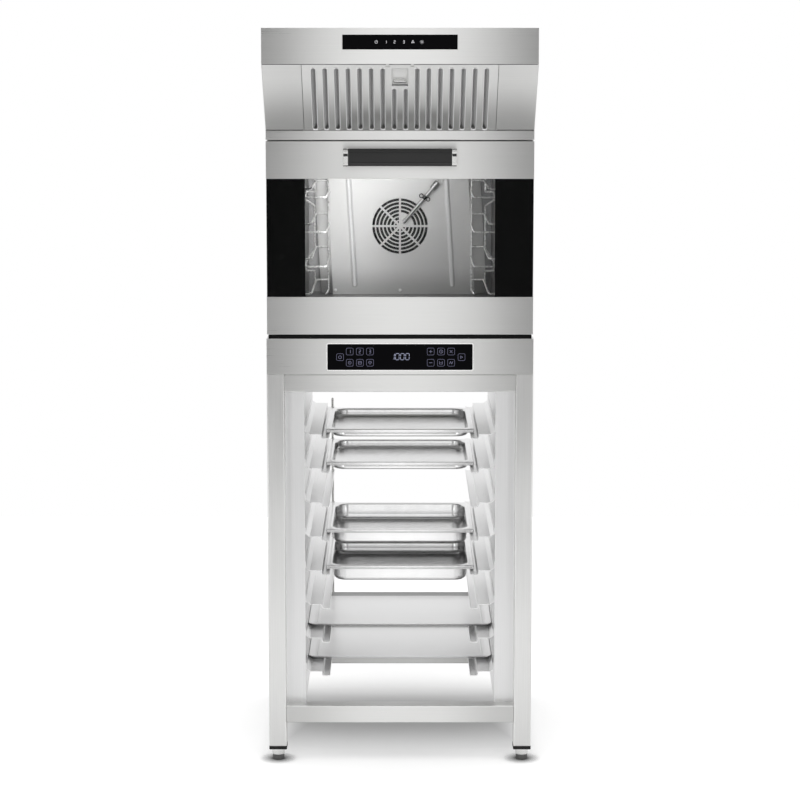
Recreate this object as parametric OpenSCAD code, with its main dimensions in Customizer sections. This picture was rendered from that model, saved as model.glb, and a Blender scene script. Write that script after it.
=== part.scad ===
// Convection oven with a drop-down door, under a condensing extraction hood,
// on an open stand whose runners carry gastronorm pans and baking trays.
// Millimetres. X runs to the right, Y to the back, Z up from the floor.

/* [Stand] */
// Outer depth over the legs
stand_d = 560; // [545:1:600]
// Height of the stand's top face above the floor
stand_h = 906; // [860:1:950]
// Side of the square tube that legs and rails are cut from
tube = 40; // [35:1:42]
// Wall of the square tube
tube_wall = 1.5; // [1.2:0.1:2.5]
// Outer corner radius of the square tube
tube_r = 3; // [2.6:0.1:4]
// Height of the bottom rails' underside above the floor
bottom_rail_z = 91; // [70:1:130]
// How far the legs' front face lies behind the door's face
stand_setback = 2; // [0:1:6]

/* [Feet] */
// Height of a levelling foot's body, screwed right in
foot_h = 27; // [22:1:35]
// Radius of the foot's metal body
foot_r = 15; // [12:0.5:18]
// Radius of the foot's screw
foot_screw_r = 5; // [4:0.5:6]
// Height of the plug that shows below the leg
plug_h = 8; // [5:1:12]
// Length of the plug inside the leg
plug_insert = 24; // [16:1:30]

/* [Tray runners] */
// Distance from one runner level to the next
runner_pitch = 80; // [75:1:90]
// Distance from the stand's top to the first ledge
runner_drop = 144; // [135:1:160]
// Sheet that the runners are folded from
runner_sheet = 1.5; // [1:0.1:2]
// Sheet that the side panels are folded from
rack_sheet = 1.2; // [0.8:0.1:2]
// Depth of the pan groove below the tray ledge
groove_depth = 10; // [8:0.5:12]
// Height of the lip along the groove, which the pans' rims rest on
groove_rise = 2; // [1.5:0.1:3]
// Height of the flange that joins a runner to its panel
runner_flange = 20; // [15:1:30]
// Width of the sloping bend between that flange and the ledge
runner_bend = 9; // [7:0.5:12]
// Radius of the rear stop rod
stop_r = 3; // [2:0.5:4]

/* [Pans and trays] */
// Width of a two-thirds gastronorm pan over its rim
pan_w = 345; // [335:1:356]
// Depth of the pan over its rim, front to back
pan_d = 325; // [300:1:340]
// Height of a shallow pan
shallow_h = 20; // [18:1:30]
// Height of a deep pan
deep_h = 40; // [32:1:60]
// Sheet of the pans
pan_sheet = 1; // [0.6:0.1:1.2]
// Height of the pan's turned-down rim
pan_rim_h = 8; // [6.5:0.5:9]
// Width of the pan's rim, from the outer edge to the well
pan_rim_w = 11.5; // [10.5:0.5:12]
// Corner radius of the pan's well
pan_corner_r = 36; // [25:1:45]
// Width of a baking tray
tray_w = 433; // [428:1:438]
// Depth of a baking tray, front to back
tray_d = 320; // [300:1:330]
// Height of the baking tray's flared rim
tray_rim_h = 9; // [6:0.5:12]
// Run of the flared rim, seen from above
tray_rim_run = 11; // [8:0.5:14]
// Sheet of the baking trays
tray_sheet = 1.2; // [0.8:0.1:1.5]

/* [Oven] */
// Width of the door and of the hood
oven_w = 602; // [596:1:620]
// Height of the cavity's floor above the door's lower edge
cavity_rise = 48; // [46:1:54]
// Space between the cavity's roof and the oven's top
roof_space = 41; // [38:1:46]
// Depth of the oven behind the door's face
oven_d = 545; // [540:1:560]
// Height of the control fascia
fascia_h = 82; // [76:1:88]
// Gap between the control fascia and the door
door_gap = 10; // [9:0.5:12]
// Sheet of the oven's and hood's steelwork
sheet = 1.2; // [0.8:0.1:1.5]
// Height of the cooking cavity
cavity_h = 350; // [340:1:355]
// Depth of the cavity from its mouth to the rear wall
cavity_d = 416; // [410:1:420]
// Space for the fan, behind its cover
fan_space = 70; // [66:1:76]
// Thickness of the insulation blanket
insulation_t = 28; // [20:1:32]
// Radius of the ringed fan grille
grille_r = 67; // [60:1:75]
// Number of slot rings in the fan grille
grille_rings = 7; // [5:1:8]
// Width of the web between two slot rings
grille_web = 3; // [2:0.2:4]
// Width of the grille's spokes
spoke_w = 5; // [3:0.5:7]
// Radius of the fan wheel
impeller_r = 88; // [80:1:92]
// Number of fan blades
blades = 24; // [16:1:30]
// Radius of the side racks' wire
wire_r = 2.25; // [2:0.05:2.6]
// Distance from one tray level in the oven to the next
rack_pitch = 80; // [76:1:82]
// Width of the control glass
control_w = 329; // [300:1:340]
// Height of the control glass
control_h = 59; // [50:1:62]

/* [Door] */
// Thickness of the closed door
door_t = 45; // [42:1:46]
// Width of the clear part of the window
window_w = 427.5; // [400:0.5:440]
// Height of the steel band below the glass
lower_band_h = 85; // [75:1:95]
// Height of the steel band above the glass
upper_band_h = 84; // [75:1:95]
// Thickness of the door's panes
pane_t = 4; // [3:0.5:5]
// Distance of the hinge axis behind the door's face
hinge_in = 10; // [9:0.5:11]
// Height of the hinge axis above the door's lower edge
hinge_up = 20; // [18:0.5:22]
// Radius of the hinge pins
hinge_pin_r = 4; // [3:0.5:5]
// Length of the handle over its metal ends
handle_w = 252.7; // [220:0.1:300]
// Length of one metal handle end
handle_end_w = 10.6; // [8:0.1:14]
// Height of the handle's grip
grip_h = 38.6; // [30:0.1:42]
// Thickness of the handle's grip, front to back
grip_t = 16; // [12:0.5:18]
// How far the handle stands off the door
handle_reach = 45; // [40:1:55]

/* [Hood] */
// Overall depth of the hood
hood_d = 710; // [690:1:730]
// Height of the hood
hood_h = 248; // [235:1:260]
// How far the hood's front band stands out past the door
hood_reach = 145; // [130:1:160]
// Height of the hood's upright front band
band_h = 78.5; // [70:0.5:90]
// Height of the trim under the filter
trim_h = 21; // [16:1:26]
// Width of the filter
filter_w = 428; // [400:1:440]
// Thickness of the filter
filter_t = 20; // [16:1:24]
// Distance from one filter slot to the next
slot_pitch = 25.2; // [22:0.1:28]
// Width of a filter slot
slot_w = 10; // [7:0.5:12]
// Width of the hood's control glass
hood_glass_w = 249.5; // [220:0.5:280]
// Height of the hood's control glass
hood_glass_h = 31.6; // [26:0.1:38]
// Radius of the extraction wheel
wheel_r = 70; // [60:1:76]

/* [Hidden] */

$fn = 48;
run_fit = 0.05;      // radial clearance of a turning or sliding round fit
seat_gap = 0.3;      // air between a loose piece and what it rests on
past = 1;            // how far a cut runs past the face it opens

// Colours as the photograph shows them
steel = [0.80, 0.80, 0.79];
bright_steel = [0.88, 0.88, 0.88];
dark_glass = [0.05, 0.05, 0.05];
clear_glass = [0.75, 0.80, 0.80, 0.4];
black_plastic = [0.25, 0.25, 0.25];
dark_metal = [0.45, 0.45, 0.45];
wool = [0.85, 0.80, 0.60];
board_green = [0.10, 0.35, 0.20];

// Depth is counted from the door's outer face, at this Y
face_y = hood_reach - hood_d / 2;

// Heights of the stack
leg_z = foot_h + plug_h;
oven_z = stand_h;
fascia_top = oven_z + fascia_h;
door_z = fascia_top + door_gap;
cavity_z = door_z + cavity_rise;
cavity_top = cavity_z + cavity_h;
oven_top = cavity_top + roof_space;
door_top = oven_top - 3;
hood_z = oven_top;
hood_top = hood_z + hood_h;
slope_z = hood_z + trim_h + 1;
band_z = hood_top - band_h;

// Plan of the stand, which is a little wider than the door
stand_w = oven_w + 4;
leg_in_x = stand_w / 2 - tube;
leg_x = stand_w / 2 - tube / 2;
stand_back = stand_setback + stand_d;
leg_ys = [stand_setback + tube / 2, stand_back - tube / 2];
rail_top = bottom_rail_z + tube;
web_x = tray_w / 2 + runner_sheet + 0.9;
rack_y0 = stand_setback + tube - tube_r - 3;
rack_y1 = stand_back - tube + tube_r + 5;
runner_y0 = stand_setback + tube + 3;
runner_y1 = stand_back - tube - 12;
groove_x = pan_w / 2 + 8;
groove_in_x = pan_w / 2 - pan_rim_w + runner_sheet + 1.3;
first_ledge = stand_h - runner_drop;
levels = floor((first_ledge - groove_depth - rail_top - runner_sheet - 20) / runner_pitch) + 1;
stop_x = (groove_x + groove_in_x) / 2 - 4;

// Cavity, counted back from the door's face
shell_x = oven_w / 2 - 1;
shell_y0 = door_t + 6;
frame_y0 = door_t + 7;
frame_t = 1.5;
mouth_y = frame_y0 + frame_t;
rear_y = mouth_y + cavity_d;
deflector_y = rear_y - fan_space;
cavity_x = tray_w / 2 + 7.5;
fan_z = cavity_z + cavity_h / 2 - 9;
tray_level = cavity_z + 39;

// Door
pin_y = hinge_in;
pin_z = door_z + hinge_up;
window_z0 = door_z + lower_band_h;
window_z1 = door_top - upper_band_h;
hinge_x = oven_w / 2 - 37;
hinge_t = 4;
handle_z = door_top - 34.3;

// Hood slope, from the trim up to the front band
slope_run = hood_reach - 0.4;
slope_rise = band_z - slope_z;
slope_len = sqrt(slope_run * slope_run + slope_rise * slope_rise);
slope_angle = atan2(slope_rise, slope_run);
hood_back = hood_d - hood_reach;
hood_x = oven_w / 2;
filter_pivot = 5;
filter_pin_r = 2.5;

function reversed(list) = [for (i = [len(list) - 1 : -1 : 0]) list[i]];
function unit(v) = v / norm(v);
function left_of(v) = [-v[1], v[0]];
function side_normal(path, i) =
    let (into = unit(path[max(i, 1)] - path[max(i, 1) - 1]),
         out = unit(path[min(i, len(path) - 2) + 1] - path[min(i, len(path) - 2)]),
         a = left_of(into), b = left_of(out))
    (a + b) / (1 + a * b);
// Outline of a sheet whose visible face follows the path, its thickness on the path's left
function folded(path, t) =
    concat(path, reversed([for (i = [0 : len(path) - 1]) path[i] + t * side_normal(path, i)]));

// A box given by its spans, with Y counted from the door's face
module span_box(x, y, z) {
    translate([x[0], face_y + y[0], z[0]])
        cube([x[1] - x[0], y[1] - y[0], z[1] - z[0]]);
}

module both_sides() {
    children();
    mirror([1, 0, 0]) children();
}

// Stands an outline drawn in Y and Z up, and runs it along X
module along_x(x) {
    translate([x[0], face_y, 0]) rotate([90, 0, 90]) linear_extrude(x[1] - x[0]) children();
}

// Stands an outline drawn in X and Z up, and runs it back along Y
module along_y(y) {
    translate([0, face_y + y[1], 0]) rotate([90, 0, 0]) linear_extrude(y[1] - y[0]) children();
}

// Lays an outline drawn in X and Y flat, and runs it up
module along_z(z) {
    translate([0, face_y, z[0]]) linear_extrude(z[1] - z[0]) children();
}

// A round bar along Y
module bar_y(x, z, r, y) {
    along_y(y) translate([x, z]) circle(r);
}

module rounded_rect(w, h, r) {
    square([w - 2 * r, h], center = true);
    square([w, h - 2 * r], center = true);
    for (x = [-1, 1], y = [-1, 1])
        translate([x * (w / 2 - r), y * (h / 2 - r)]) circle(r);
}

// An upright slot with round ends, from y0 to y1
module capsule(w, y0, y1) {
    translate([-w / 2, y0 + w / 2]) square([w, y1 - y0 - w]);
    for (y = [y0 + w / 2, y1 - w / 2]) translate([0, y]) circle(w / 2);
}

module tube_section() {
    difference() {
        rounded_rect(tube, tube, tube_r);
        rounded_rect(tube - 2 * tube_wall, tube - 2 * tube_wall, tube_r - tube_wall);
    }
}

// A ring of points round a rectangle with round corners, each corner in n steps
function corner_ring(w, d, r, z, n) =
    [for (c = [0 : 3], i = [0 : n])
        let (a = 90 * (c + i / n))
        [(c == 0 || c == 3 ? 1 : -1) * (w / 2 - r) + r * cos(a),
         (c < 2 ? 1 : -1) * (d / 2 - r) + r * sin(a), z]];

// A closed skin over rings that all have the same number of points
module loft(rings) {
    m = len(rings[0]);
    last = len(rings) - 1;
    points = [for (ring = rings, p = ring) p];
    walls = [for (k = [0 : last - 1], i = [0 : m - 1])
        [k * m + i, (k + 1) * m + i, (k + 1) * m + (i + 1) % m, k * m + (i + 1) % m]];
    start = [for (i = [0 : m - 1]) i];
    end = [for (i = [m - 1 : -1 : 0]) last * m + i];
    polyhedron(points, concat([start], walls, [end]), convexity = 4);
}

// A bent round wire along a path of points, its rings turned square to the mean direction
function ring_frame(path, i) =
    let (a = unit(path[min(i + 1, len(path) - 1)] - path[min(i, len(path) - 2)]),
         b = unit(path[max(i, 1)] - path[max(i, 1) - 1]),
         t = unit(a + b),
         u0 = abs(t[0]) < 0.9 ? [1, 0, 0] : [0, 1, 0],
         u = unit(u0 - (u0 * t) * t))
    [u, cross(t, u), 1 / sqrt((1 + a * b) / 2)];
function wire_ring(path, i, r, sides) =
    let (f = ring_frame(path, i))
    [for (k = [0 : sides - 1]) let (a = 360 * k / sides) path[i] + r * (cos(a) * f[0] + sin(a) * f[1])];
module wire(path, r, sides = 8) {
    loft([for (i = [len(path) - 1 : -1 : 0]) wire_ring(path, i, r, sides)]);
}
// Points of a path whose inner corners are rounded with a radius, in two steps each
function eased(path, r) =
    [for (i = [0 : len(path) - 1])
        if (i == 0 || i == len(path) - 1) path[i]
        else
            let (a = unit(path[i - 1] - path[i]), b = unit(path[i + 1] - path[i]))
            each [path[i] + r * a, path[i] + r * (a + b) * 0.29, path[i] + r * b]];

// Stand

module stand_legs() {
    color(steel)
    for (x = [-leg_x, leg_x], y = leg_ys)
        translate([x, face_y + y, leg_z]) linear_extrude(stand_h - leg_z) tube_section();
}

// Front, rear and side rails at one height, cut to fit between the legs
module rails(z) {
    for (y = leg_ys)
        along_x([-leg_in_x, leg_in_x]) translate([y, z + tube / 2]) tube_section();
    for (x = [-leg_x, leg_x])
        along_y([stand_setback + tube, stand_back - tube]) translate([x, z + tube / 2]) tube_section();
}

module stand_top_rails() {
    color(steel) rails(stand_h - tube);
}

module stand_bottom_rails() {
    color(steel) rails(bottom_rail_z);
}

module leg_end_plugs() {
    inner = tube - 2 * tube_wall - 0.2;
    color(black_plastic)
    for (x = [-leg_x, leg_x], y = leg_ys)
        translate([x, face_y + y, foot_h]) difference() {
            union() {
                linear_extrude(plug_h) rounded_rect(tube + 0.8, tube + 0.8, tube_r);
                linear_extrude(plug_h + plug_insert) rounded_rect(inner, inner, tube_r - tube_wall);
            }
            translate([0, 0, -past]) cylinder(r = foot_screw_r + run_fit, h = plug_h + plug_insert + 2 * past);
        }
}

// A levelling foot: a dark moulded pad, a plated body and the screw up into the leg's plug
module foot(x, y) {
    pad_h = 0.42 * foot_h;
    pad_r = foot_r - 1.4;
    color(bright_steel)
    translate([x, face_y + y, 0]) {
        rotate_extrude() polygon([[0, 0], [pad_r - 1.2, 0], [pad_r, 1.5], [pad_r, pad_h - 3],
            [pad_r - 2, pad_h], [foot_r - 1, pad_h + 1], [foot_r, foot_h - 3], [foot_r, foot_h],
            [0, foot_h]]);
        cylinder(r = foot_screw_r, h = foot_h + plug_h + plug_insert + 6);
    }
}

module foot_front_left() { foot(-leg_x, leg_ys[0]); }
module foot_front_right() { foot(leg_x, leg_ys[0]); }
module foot_rear_left() { foot(-leg_x, leg_ys[1]); }
module foot_rear_right() { foot(leg_x, leg_ys[1]); }

// Side panels: a folded sheet from the front leg to the rear leg
module rack_panels() {
    plan = [[leg_in_x, rack_y1], [web_x, rack_y1], [web_x, rack_y0], [leg_in_x, rack_y0]];
    color(steel)
    both_sides() along_z([rail_top, stand_h - tube]) polygon(folded(plan, rack_sheet));
}

// One runner: flange on the panel, tray ledge, and the groove that the pans' rims drop into
module runner_section(z) {
    low = z - groove_depth;
    face_x = web_x - runner_sheet;
    polygon(folded([[face_x, z + runner_flange], [face_x, z + 0.7 * runner_bend],
        [face_x - runner_bend, z], [groove_x, z], [groove_x, low + 3], [groove_x - 2.5, low],
        [groove_in_x + 1.2, low], [groove_in_x, low + groove_rise]],
        runner_sheet));
}

module tray_runners() {
    color(steel)
    both_sides() for (k = [0 : levels - 1])
        along_y([runner_y0, runner_y1]) runner_section(first_ledge - k * runner_pitch);
}

// Upright rod behind the left runners, which stops the pans
module rear_stop_rod() {
    low = first_ledge - (levels - 1) * runner_pitch - groove_depth;
    color(dark_metal)
    translate([-stop_x, face_y + runner_y1 + stop_r, low]) {
        cylinder(r = stop_r, h = first_ledge + 10 - low);
        translate([0, 0, first_ledge + 10 - low]) sphere(stop_r);
    }
}

// A pan as a loft: well, flange and turned-down rim, all of one sheet
module pan(h, level, y_front) {
    t = pan_sheet;
    draft = 0.1 * h;
    floor_r = 0.35 * h;
    low = pan_rim_h - h;
    half = 1 - sqrt(0.5);
    w = pan_rim_w;
    r = pan_corner_r;
    // Each row: distance in from the rim's outer edge, height over the rim's foot, corner radius
    section = [
        [w + draft + floor_r, low, r - floor_r], [w + draft + half * floor_r, low + half * floor_r, r],
        [w + draft, low + floor_r, r], [w, pan_rim_h - t, r],
        [t, pan_rim_h - t, 3], [t, 0, 3], [0, 0, 4], [0, pan_rim_h - 1.5, 4], [1.5, pan_rim_h, 3.5],
        [w + t - 1, pan_rim_h, r + 1], [w + t, pan_rim_h - 1, r],
        [w + t + draft, low + floor_r, r - 1], [w + t + draft + half * floor_r, low + t + half * floor_r, r - 1],
        [w + draft + floor_r, low + t, r - floor_r]];
    z = first_ledge - level * runner_pitch - groove_depth + groove_rise + seat_gap;
    color(bright_steel)
    translate([0, face_y + y_front + pan_d / 2, z])
        loft([for (s = section) corner_ring(pan_w - 2 * s[0], pan_d - 2 * s[0], s[2], s[1], 6)]);
}

module shallow_pan_upper() { pan(shallow_h, 0, 108); }
module shallow_pan_lower() { pan(shallow_h, 1, 122); }
module deep_pan_upper() { pan(deep_h, 3, 122); }
module deep_pan_lower() { pan(deep_h, 4, 90); }

// A flat baking tray with a flared rim and cut corners
module baking_tray(level, y_front) {
    t = tray_sheet;
    cut = 15;
    section = [[tray_rim_run, 0, cut - 4], [0, tray_rim_h - t, cut], [0, tray_rim_h, cut],
        [t, tray_rim_h, cut - 0.5], [tray_rim_run + 0.4 * t, t, cut - 4]];
    z = first_ledge - level * runner_pitch + seat_gap;
    color(bright_steel)
    translate([0, face_y + y_front + tray_d / 2, z])
        loft([for (s = section) corner_ring(tray_w - 2 * s[0], tray_d - 2 * s[0], s[2], s[1], 1)]);
}

module baking_tray_upper() { baking_tray(levels - 2, 142); }
module baking_tray_lower() { baking_tray(levels - 1, 146); }

// Oven casing

module oven_shell() {
    bend = [[shell_x, oven_z], [shell_x, oven_top], [-shell_x, oven_top], [-shell_x, oven_z]];
    color(steel) along_y([shell_y0, oven_d]) polygon(folded(bend, sheet));
}

inlet_x = 86;
inlet_z = fan_z + 101;
inlet_r = 13.2;
gland_x = 81 - oven_w / 2;
gland_z = oven_z + 44;
gland_hole_r = 10;

// Rear wall with its cooling slots, the water inlet and the cable gland
module oven_back_panel() {
    slot_l = 60;
    color(steel)
    along_y([oven_d - sheet, oven_d]) difference() {
        translate([-shell_x + sheet, oven_z + sheet])
            square([2 * (shell_x - sheet), oven_top - oven_z - 2 * sheet]);
        for (row = [0 : 7], x = [-210, -70, 70, 210])
            translate([x, oven_z + 80 + 16 * row]) rotate(90) capsule(5, -slot_l / 2, slot_l / 2);
        for (row = [0 : 4], x = [-120, -50])
            translate([x, fan_z + 80 + 16 * row]) rotate(90) capsule(5, -slot_l / 2 + 2, slot_l / 2 - 2);
        translate([inlet_x, inlet_z]) circle(inlet_r + 0.2);
        translate([gland_x, gland_z]) circle(gland_hole_r + 0.2);
    }
}

// Floor tray of the control space, with turned-up edges
module oven_base() {
    y0 = 24;
    edge = 18;
    color(steel) difference() {
        span_box([-shell_x + sheet, shell_x - sheet], [shell_y0, oven_d - sheet], [oven_z, oven_z + edge]);
        span_box([-shell_x + 2 * sheet, shell_x - 2 * sheet], [shell_y0 + sheet, oven_d - 2 * sheet],
            [oven_z + sheet, oven_z + edge + past]);
        for (x = [-160 : 80 : 160], y = [160 : 30 : 400])
            translate([x, face_y + y, oven_z - past]) linear_extrude(sheet + 2 * past)
                rotate(90) capsule(6, -25, 25);
    }
    color(steel) span_box([-shell_x + 40, shell_x - 40], [y0, shell_y0], [oven_z, oven_z + sheet]);
}

dish_r = 150;
lamp_x = 120;
lamp_y = 250;
lamp_r = 24;
shaft_r = 6;
heater_r = 100;
heater_wire = 4;

// Welded cavity, open at the front, with a shallow round dish pressed in its floor
module cavity_liner() {
    mid_y = (mouth_y + deflector_y) / 2;
    color(bright_steel) difference() {
        union() {
            span_box([-cavity_x - sheet, cavity_x + sheet], [mouth_y, rear_y + sheet],
                [cavity_z - sheet, cavity_top + sheet]);
            translate([0, face_y + mid_y, cavity_z - sheet - 3]) cylinder(r = dish_r + sheet, h = 4);
        }
        span_box([-cavity_x, cavity_x], [mouth_y - past, rear_y], [cavity_z, cavity_top]);
        translate([0, face_y + mid_y, cavity_z - 3]) cylinder(r1 = dish_r - 9, r2 = dish_r, h = 3 + 0.01);
        bar_y(0, fan_z, shaft_r + 3, [rear_y - past, rear_y + sheet + past]);
        bar_y(inlet_x, inlet_z, 4, [rear_y - past, rear_y + sheet + past]);
        for (x = [-1, 1])
            bar_y(x * heater_leg_x, fan_z - heater_leg_z, heater_leg_r + 0.2,
                [rear_y - past, rear_y + sheet + past]);
        translate([lamp_x, face_y + lamp_y, cavity_top - past]) cylinder(r = lamp_r - 4, h = sheet + 2 * past);
    }
}

// Front frame round the mouth, slotted for the hinge brackets
module cavity_face_frame() {
    color(steel)
    along_y([frame_y0, mouth_y]) difference() {
        translate([-shell_x + sheet, fascia_top - 26])
            square([2 * (shell_x - sheet), oven_top - sheet - fascia_top + 26]);
        translate([-cavity_x, cavity_z]) square([2 * cavity_x, cavity_h]);
        for (x = [-hinge_x, hinge_x])
            translate([x, pin_z]) square([hinge_t + 0.4, 14.4], center = true);
    }
}

// Mineral wool round the cavity's five closed sides
module insulation() {
    out = sheet + insulation_t;
    wool_y = rear_y + sheet;
    color(wool) difference() {
        span_box([-cavity_x - out, cavity_x + out], [mouth_y + 2, wool_y + insulation_t],
            [cavity_z - out, cavity_top + out]);
        span_box([-cavity_x - sheet, cavity_x + sheet], [mouth_y, wool_y],
            [cavity_z - sheet, cavity_top + sheet]);
        translate([0, face_y + (mouth_y + deflector_y) / 2, cavity_z - sheet - 3])
            cylinder(r = dish_r + sheet, h = 4);
        bar_y(0, fan_z, motor_neck_r, [wool_y - past, wool_y + insulation_t + past]);
        bar_y(inlet_x, inlet_z, 4, [wool_y - past, wool_y + insulation_t + past]);
        for (x = [-1, 1])
            bar_y(x * heater_leg_x, fan_z - heater_leg_z, heater_leg_r + 0.2,
                [wool_y - past, wool_y + insulation_t + past]);
        translate([lamp_x, face_y + lamp_y, cavity_top]) cylinder(r = lamp_r - 4, h = out + past);
    }
}

// Soft bulb seal round the mouth
module door_gasket() {
    w = 8;
    color(black_plastic)
    along_y([door_t + seat_gap, frame_y0]) translate([0, cavity_z + cavity_h / 2]) difference() {
        rounded_rect(2 * cavity_x + 2 * w + 4, cavity_h + 2 * w + 4, 14);
        rounded_rect(2 * cavity_x + 4, cavity_h + 4, 8);
    }
}

// Fan cover

grille_hub_r = 6.5;
ring_pitch = (grille_r - grille_hub_r + grille_web) / grille_rings;
wing_run = 30;
wing_back = 40;
deflector_x = cavity_x - 22 - wing_run;
rib_x = 118;
rib_w = 11.5;
rib_rise = 2.4;
// The cover leans a little, as its ribs and the edges of its wings show
cover_lean = 3.4;
function leaning(x, z) = x + (fan_z - z) * tan(cover_lean);
screw_z = cavity_z + 10.5;
high_screw_z = cavity_top - 14;
screw_x = deflector_x - 6;
cover_screws = [[leaning(-screw_x, screw_z), screw_z], [0, screw_z], [leaning(screw_x, screw_z), screw_z],
    [leaning(-screw_x, high_screw_z), high_screw_z], [leaning(screw_x, high_screw_z), high_screw_z]];
pipe_r = 3;
pipe_tip = [8, fan_z + 10];
pipe_end = [inlet_x, inlet_z];
pipe_y = deflector_y - 12;

// Slots of the ringed grille: rings cut by eight spokes, the inner ones left plain by the pipe
module grille_slots() {
    difference() {
        for (k = [0 : grille_rings - 1]) {
            r0 = grille_hub_r + k * ring_pitch;
            difference() {
                circle(r0 + ring_pitch - grille_web, $fn = 96);
                circle(r0, $fn = 96);
                if (k < 3) square(grille_r + past);
            }
        }
        for (a = [0 : 45 : 135]) rotate(a) square([2 * grille_r + 2 * past, spoke_w], center = true);
    }
}

// Cover in front of the fan: grille, two pressed ribs and wings turned back to the walls
module fan_deflector() {
    plan = [[-deflector_x - wing_run, deflector_y + wing_back], [-deflector_x, deflector_y],
        [deflector_x, deflector_y], [deflector_x + wing_run, deflector_y + wing_back]];
    rib_z = [cavity_z + 17, cavity_top - 8];
    rib_half = (rib_z[1] - rib_z[0]) / 2;
    lean = tan(cover_lean);
    color(bright_steel) difference() {
        union() {
            multmatrix([[1, 0, -lean, lean * fan_z], [0, 1, 0, 0], [0, 0, 1, 0], [0, 0, 0, 1]])
                along_z([cavity_z + seat_gap, cavity_top - seat_gap]) polygon(folded(plan, sheet));
            for (side = [-1, 1], in = [0, 2])
                along_y([deflector_y - rib_rise / 2 * (1 + in / 2), deflector_y + sheet / 2])
                    translate([leaning(side * rib_x, rib_z[0] + rib_half), rib_z[0] + rib_half])
                        rotate(cover_lean) capsule(rib_w + 2 - 2 * in, in - rib_half, rib_half - in);
        }
        along_y([deflector_y - past, deflector_y + sheet + past]) translate([0, fan_z]) grille_slots();
        bar_y(inlet_x, inlet_z, pipe_r + 1.2, [deflector_y - past, deflector_y + sheet + past]);
        for (p = cover_screws)
            bar_y(p[0], p[1], 2.1, [deflector_y - past, deflector_y + sheet + past]);
    }
}

// Domed screws that hold the fan cover
module deflector_screws() {
    color(bright_steel)
    for (p = cover_screws)
        translate([p[0], face_y + deflector_y, p[1]]) rotate([90, 0, 0]) {
            rotate_extrude() polygon([[0, 0], [4, 0], [4, 1], [2.6, 2.4], [0, 2.8]]);
            translate([0, 0, -8]) cylinder(r = 2, h = 8);
        }
}

motor_neck_r = 26;
motor_r = 44;

// Fan motor behind the insulation, its neck bolted to the cavity's rear wall
module fan_motor() {
    y0 = rear_y + sheet;
    y1 = y0 + insulation_t;
    color(dark_metal) difference() {
        union() {
            bar_y(0, fan_z, motor_neck_r, [y0, y1]);
            bar_y(0, fan_z, motor_r, [y1, oven_d - sheet - 6]);
            along_y([y1, y1 + 3]) translate([0, fan_z]) rounded_rect(2.5 * motor_r, 2.5 * motor_r, 12);
        }
        bar_y(0, fan_z, shaft_r + run_fit, [y0 - past, y1 + 22]);
    }
}

// Radial wheel on the motor's shaft, open to the front
module fan_impeller() {
    y0 = deflector_y + 12;
    y1 = rear_y - 14;
    color(dark_metal) {
        bar_y(0, fan_z, shaft_r, [y0 + 14, rear_y + sheet + insulation_t + 20]);
        bar_y(0, fan_z, 16, [y1 - 14, y1 + 6]);
        along_y([y1 - 1.5, y1]) translate([0, fan_z]) circle(impeller_r, $fn = 96);
        along_y([y0, y0 + 1.5]) translate([0, fan_z]) difference() {
            circle(impeller_r, $fn = 96);
            circle(impeller_r - 14, $fn = 96);
        }
        along_y([y0 + 1, y1 - 1]) translate([0, fan_z])
            for (k = [0 : blades - 1]) rotate(360 * k / blades)
                translate([impeller_r - 26, 0]) rotate(24) square([27, 1.4], center = false);
    }
}

heater_leg_r = heater_wire - 1;
heater_leg_x = heater_r * sin(14);
heater_leg_z = heater_r * cos(14);

// Two heater rings round the wheel, tied together and led out through the rear wall
module ring_heater() {
    ys = [deflector_y + 22, rear_y - 26];
    color(dark_metal) translate([0, face_y, fan_z]) {
        for (y = ys) translate([0, y, 0]) rotate([90, 0, 0])
            rotate_extrude($fn = 96) translate([heater_r, 0]) circle(heater_wire, $fn = 24);
        for (a = [-1, 1]) translate([a * heater_leg_x, ys[0], -heater_leg_z]) rotate([-90, 0, 0])
            cylinder(r = heater_leg_r, h = rear_y + sheet + insulation_t + 12 - ys[0], $fn = 24);
    }
}

// Pipe that drips water on the fan, with its end fitting and the feed through the rear wall
module water_pipe() {
    d = pipe_end - pipe_tip;
    lean = atan2(d[0], d[1]);
    l = norm(d);
    valve_y = rear_y + sheet + insulation_t + 8;
    color(bright_steel) {
        translate([pipe_tip[0], face_y + pipe_y, pipe_tip[1]]) rotate([0, lean, 0]) {
            cylinder(r = pipe_r, h = l);
            cylinder(r1 = pipe_r + 0.6, r2 = pipe_r + 1.4, h = 9);
            translate([0, 0, l - 14]) cylinder(r = 6.8, h = 21.5);
        }
        bar_y(pipe_end[0], pipe_end[1], pipe_r, [pipe_y, valve_y]);
    }
}

// Spring clip with two curled wings, which holds the pipe to the fan cover
module pipe_clip() {
    d = pipe_end - pipe_tip;
    lean = atan2(d[0], d[1]);
    at = 0.66 * norm(d);
    curl = 4.6;
    color(bright_steel)
    translate([pipe_tip[0], face_y + pipe_y, pipe_tip[1]]) rotate([0, lean, 0]) translate([0, 0, at]) {
        difference() {
            union() {
                translate([0, 0, -5]) cylinder(r = pipe_r + 1.2, h = 10);
                translate([-3, 0, -5]) cube([6, deflector_y - pipe_y, 10]);
            }
            translate([0, 0, -6]) cylinder(r = pipe_r, h = 12);
        }
        for (s = [-1, 1]) translate([s * (pipe_r + 1.2 + curl), -1, s * 2]) rotate([90, 0, 0])
            rotate_extrude($fn = 32) translate([curl, 0]) circle(1.1, $fn = 16);
    }
}

// Side racks: bent wire, hooked into the side walls

rack_x = tray_w / 2 + 2;
runner_x = rack_x - 15.5;
post_x = rack_x - 12.5;
back_post_x = rack_x - 45.5;
pan_rail_x = rack_x - 48;
rack_back = deflector_y - 8;
rack_front = mouth_y + 36;
bow_front = mouth_y + 77;
pan_below = 23.3;

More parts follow.
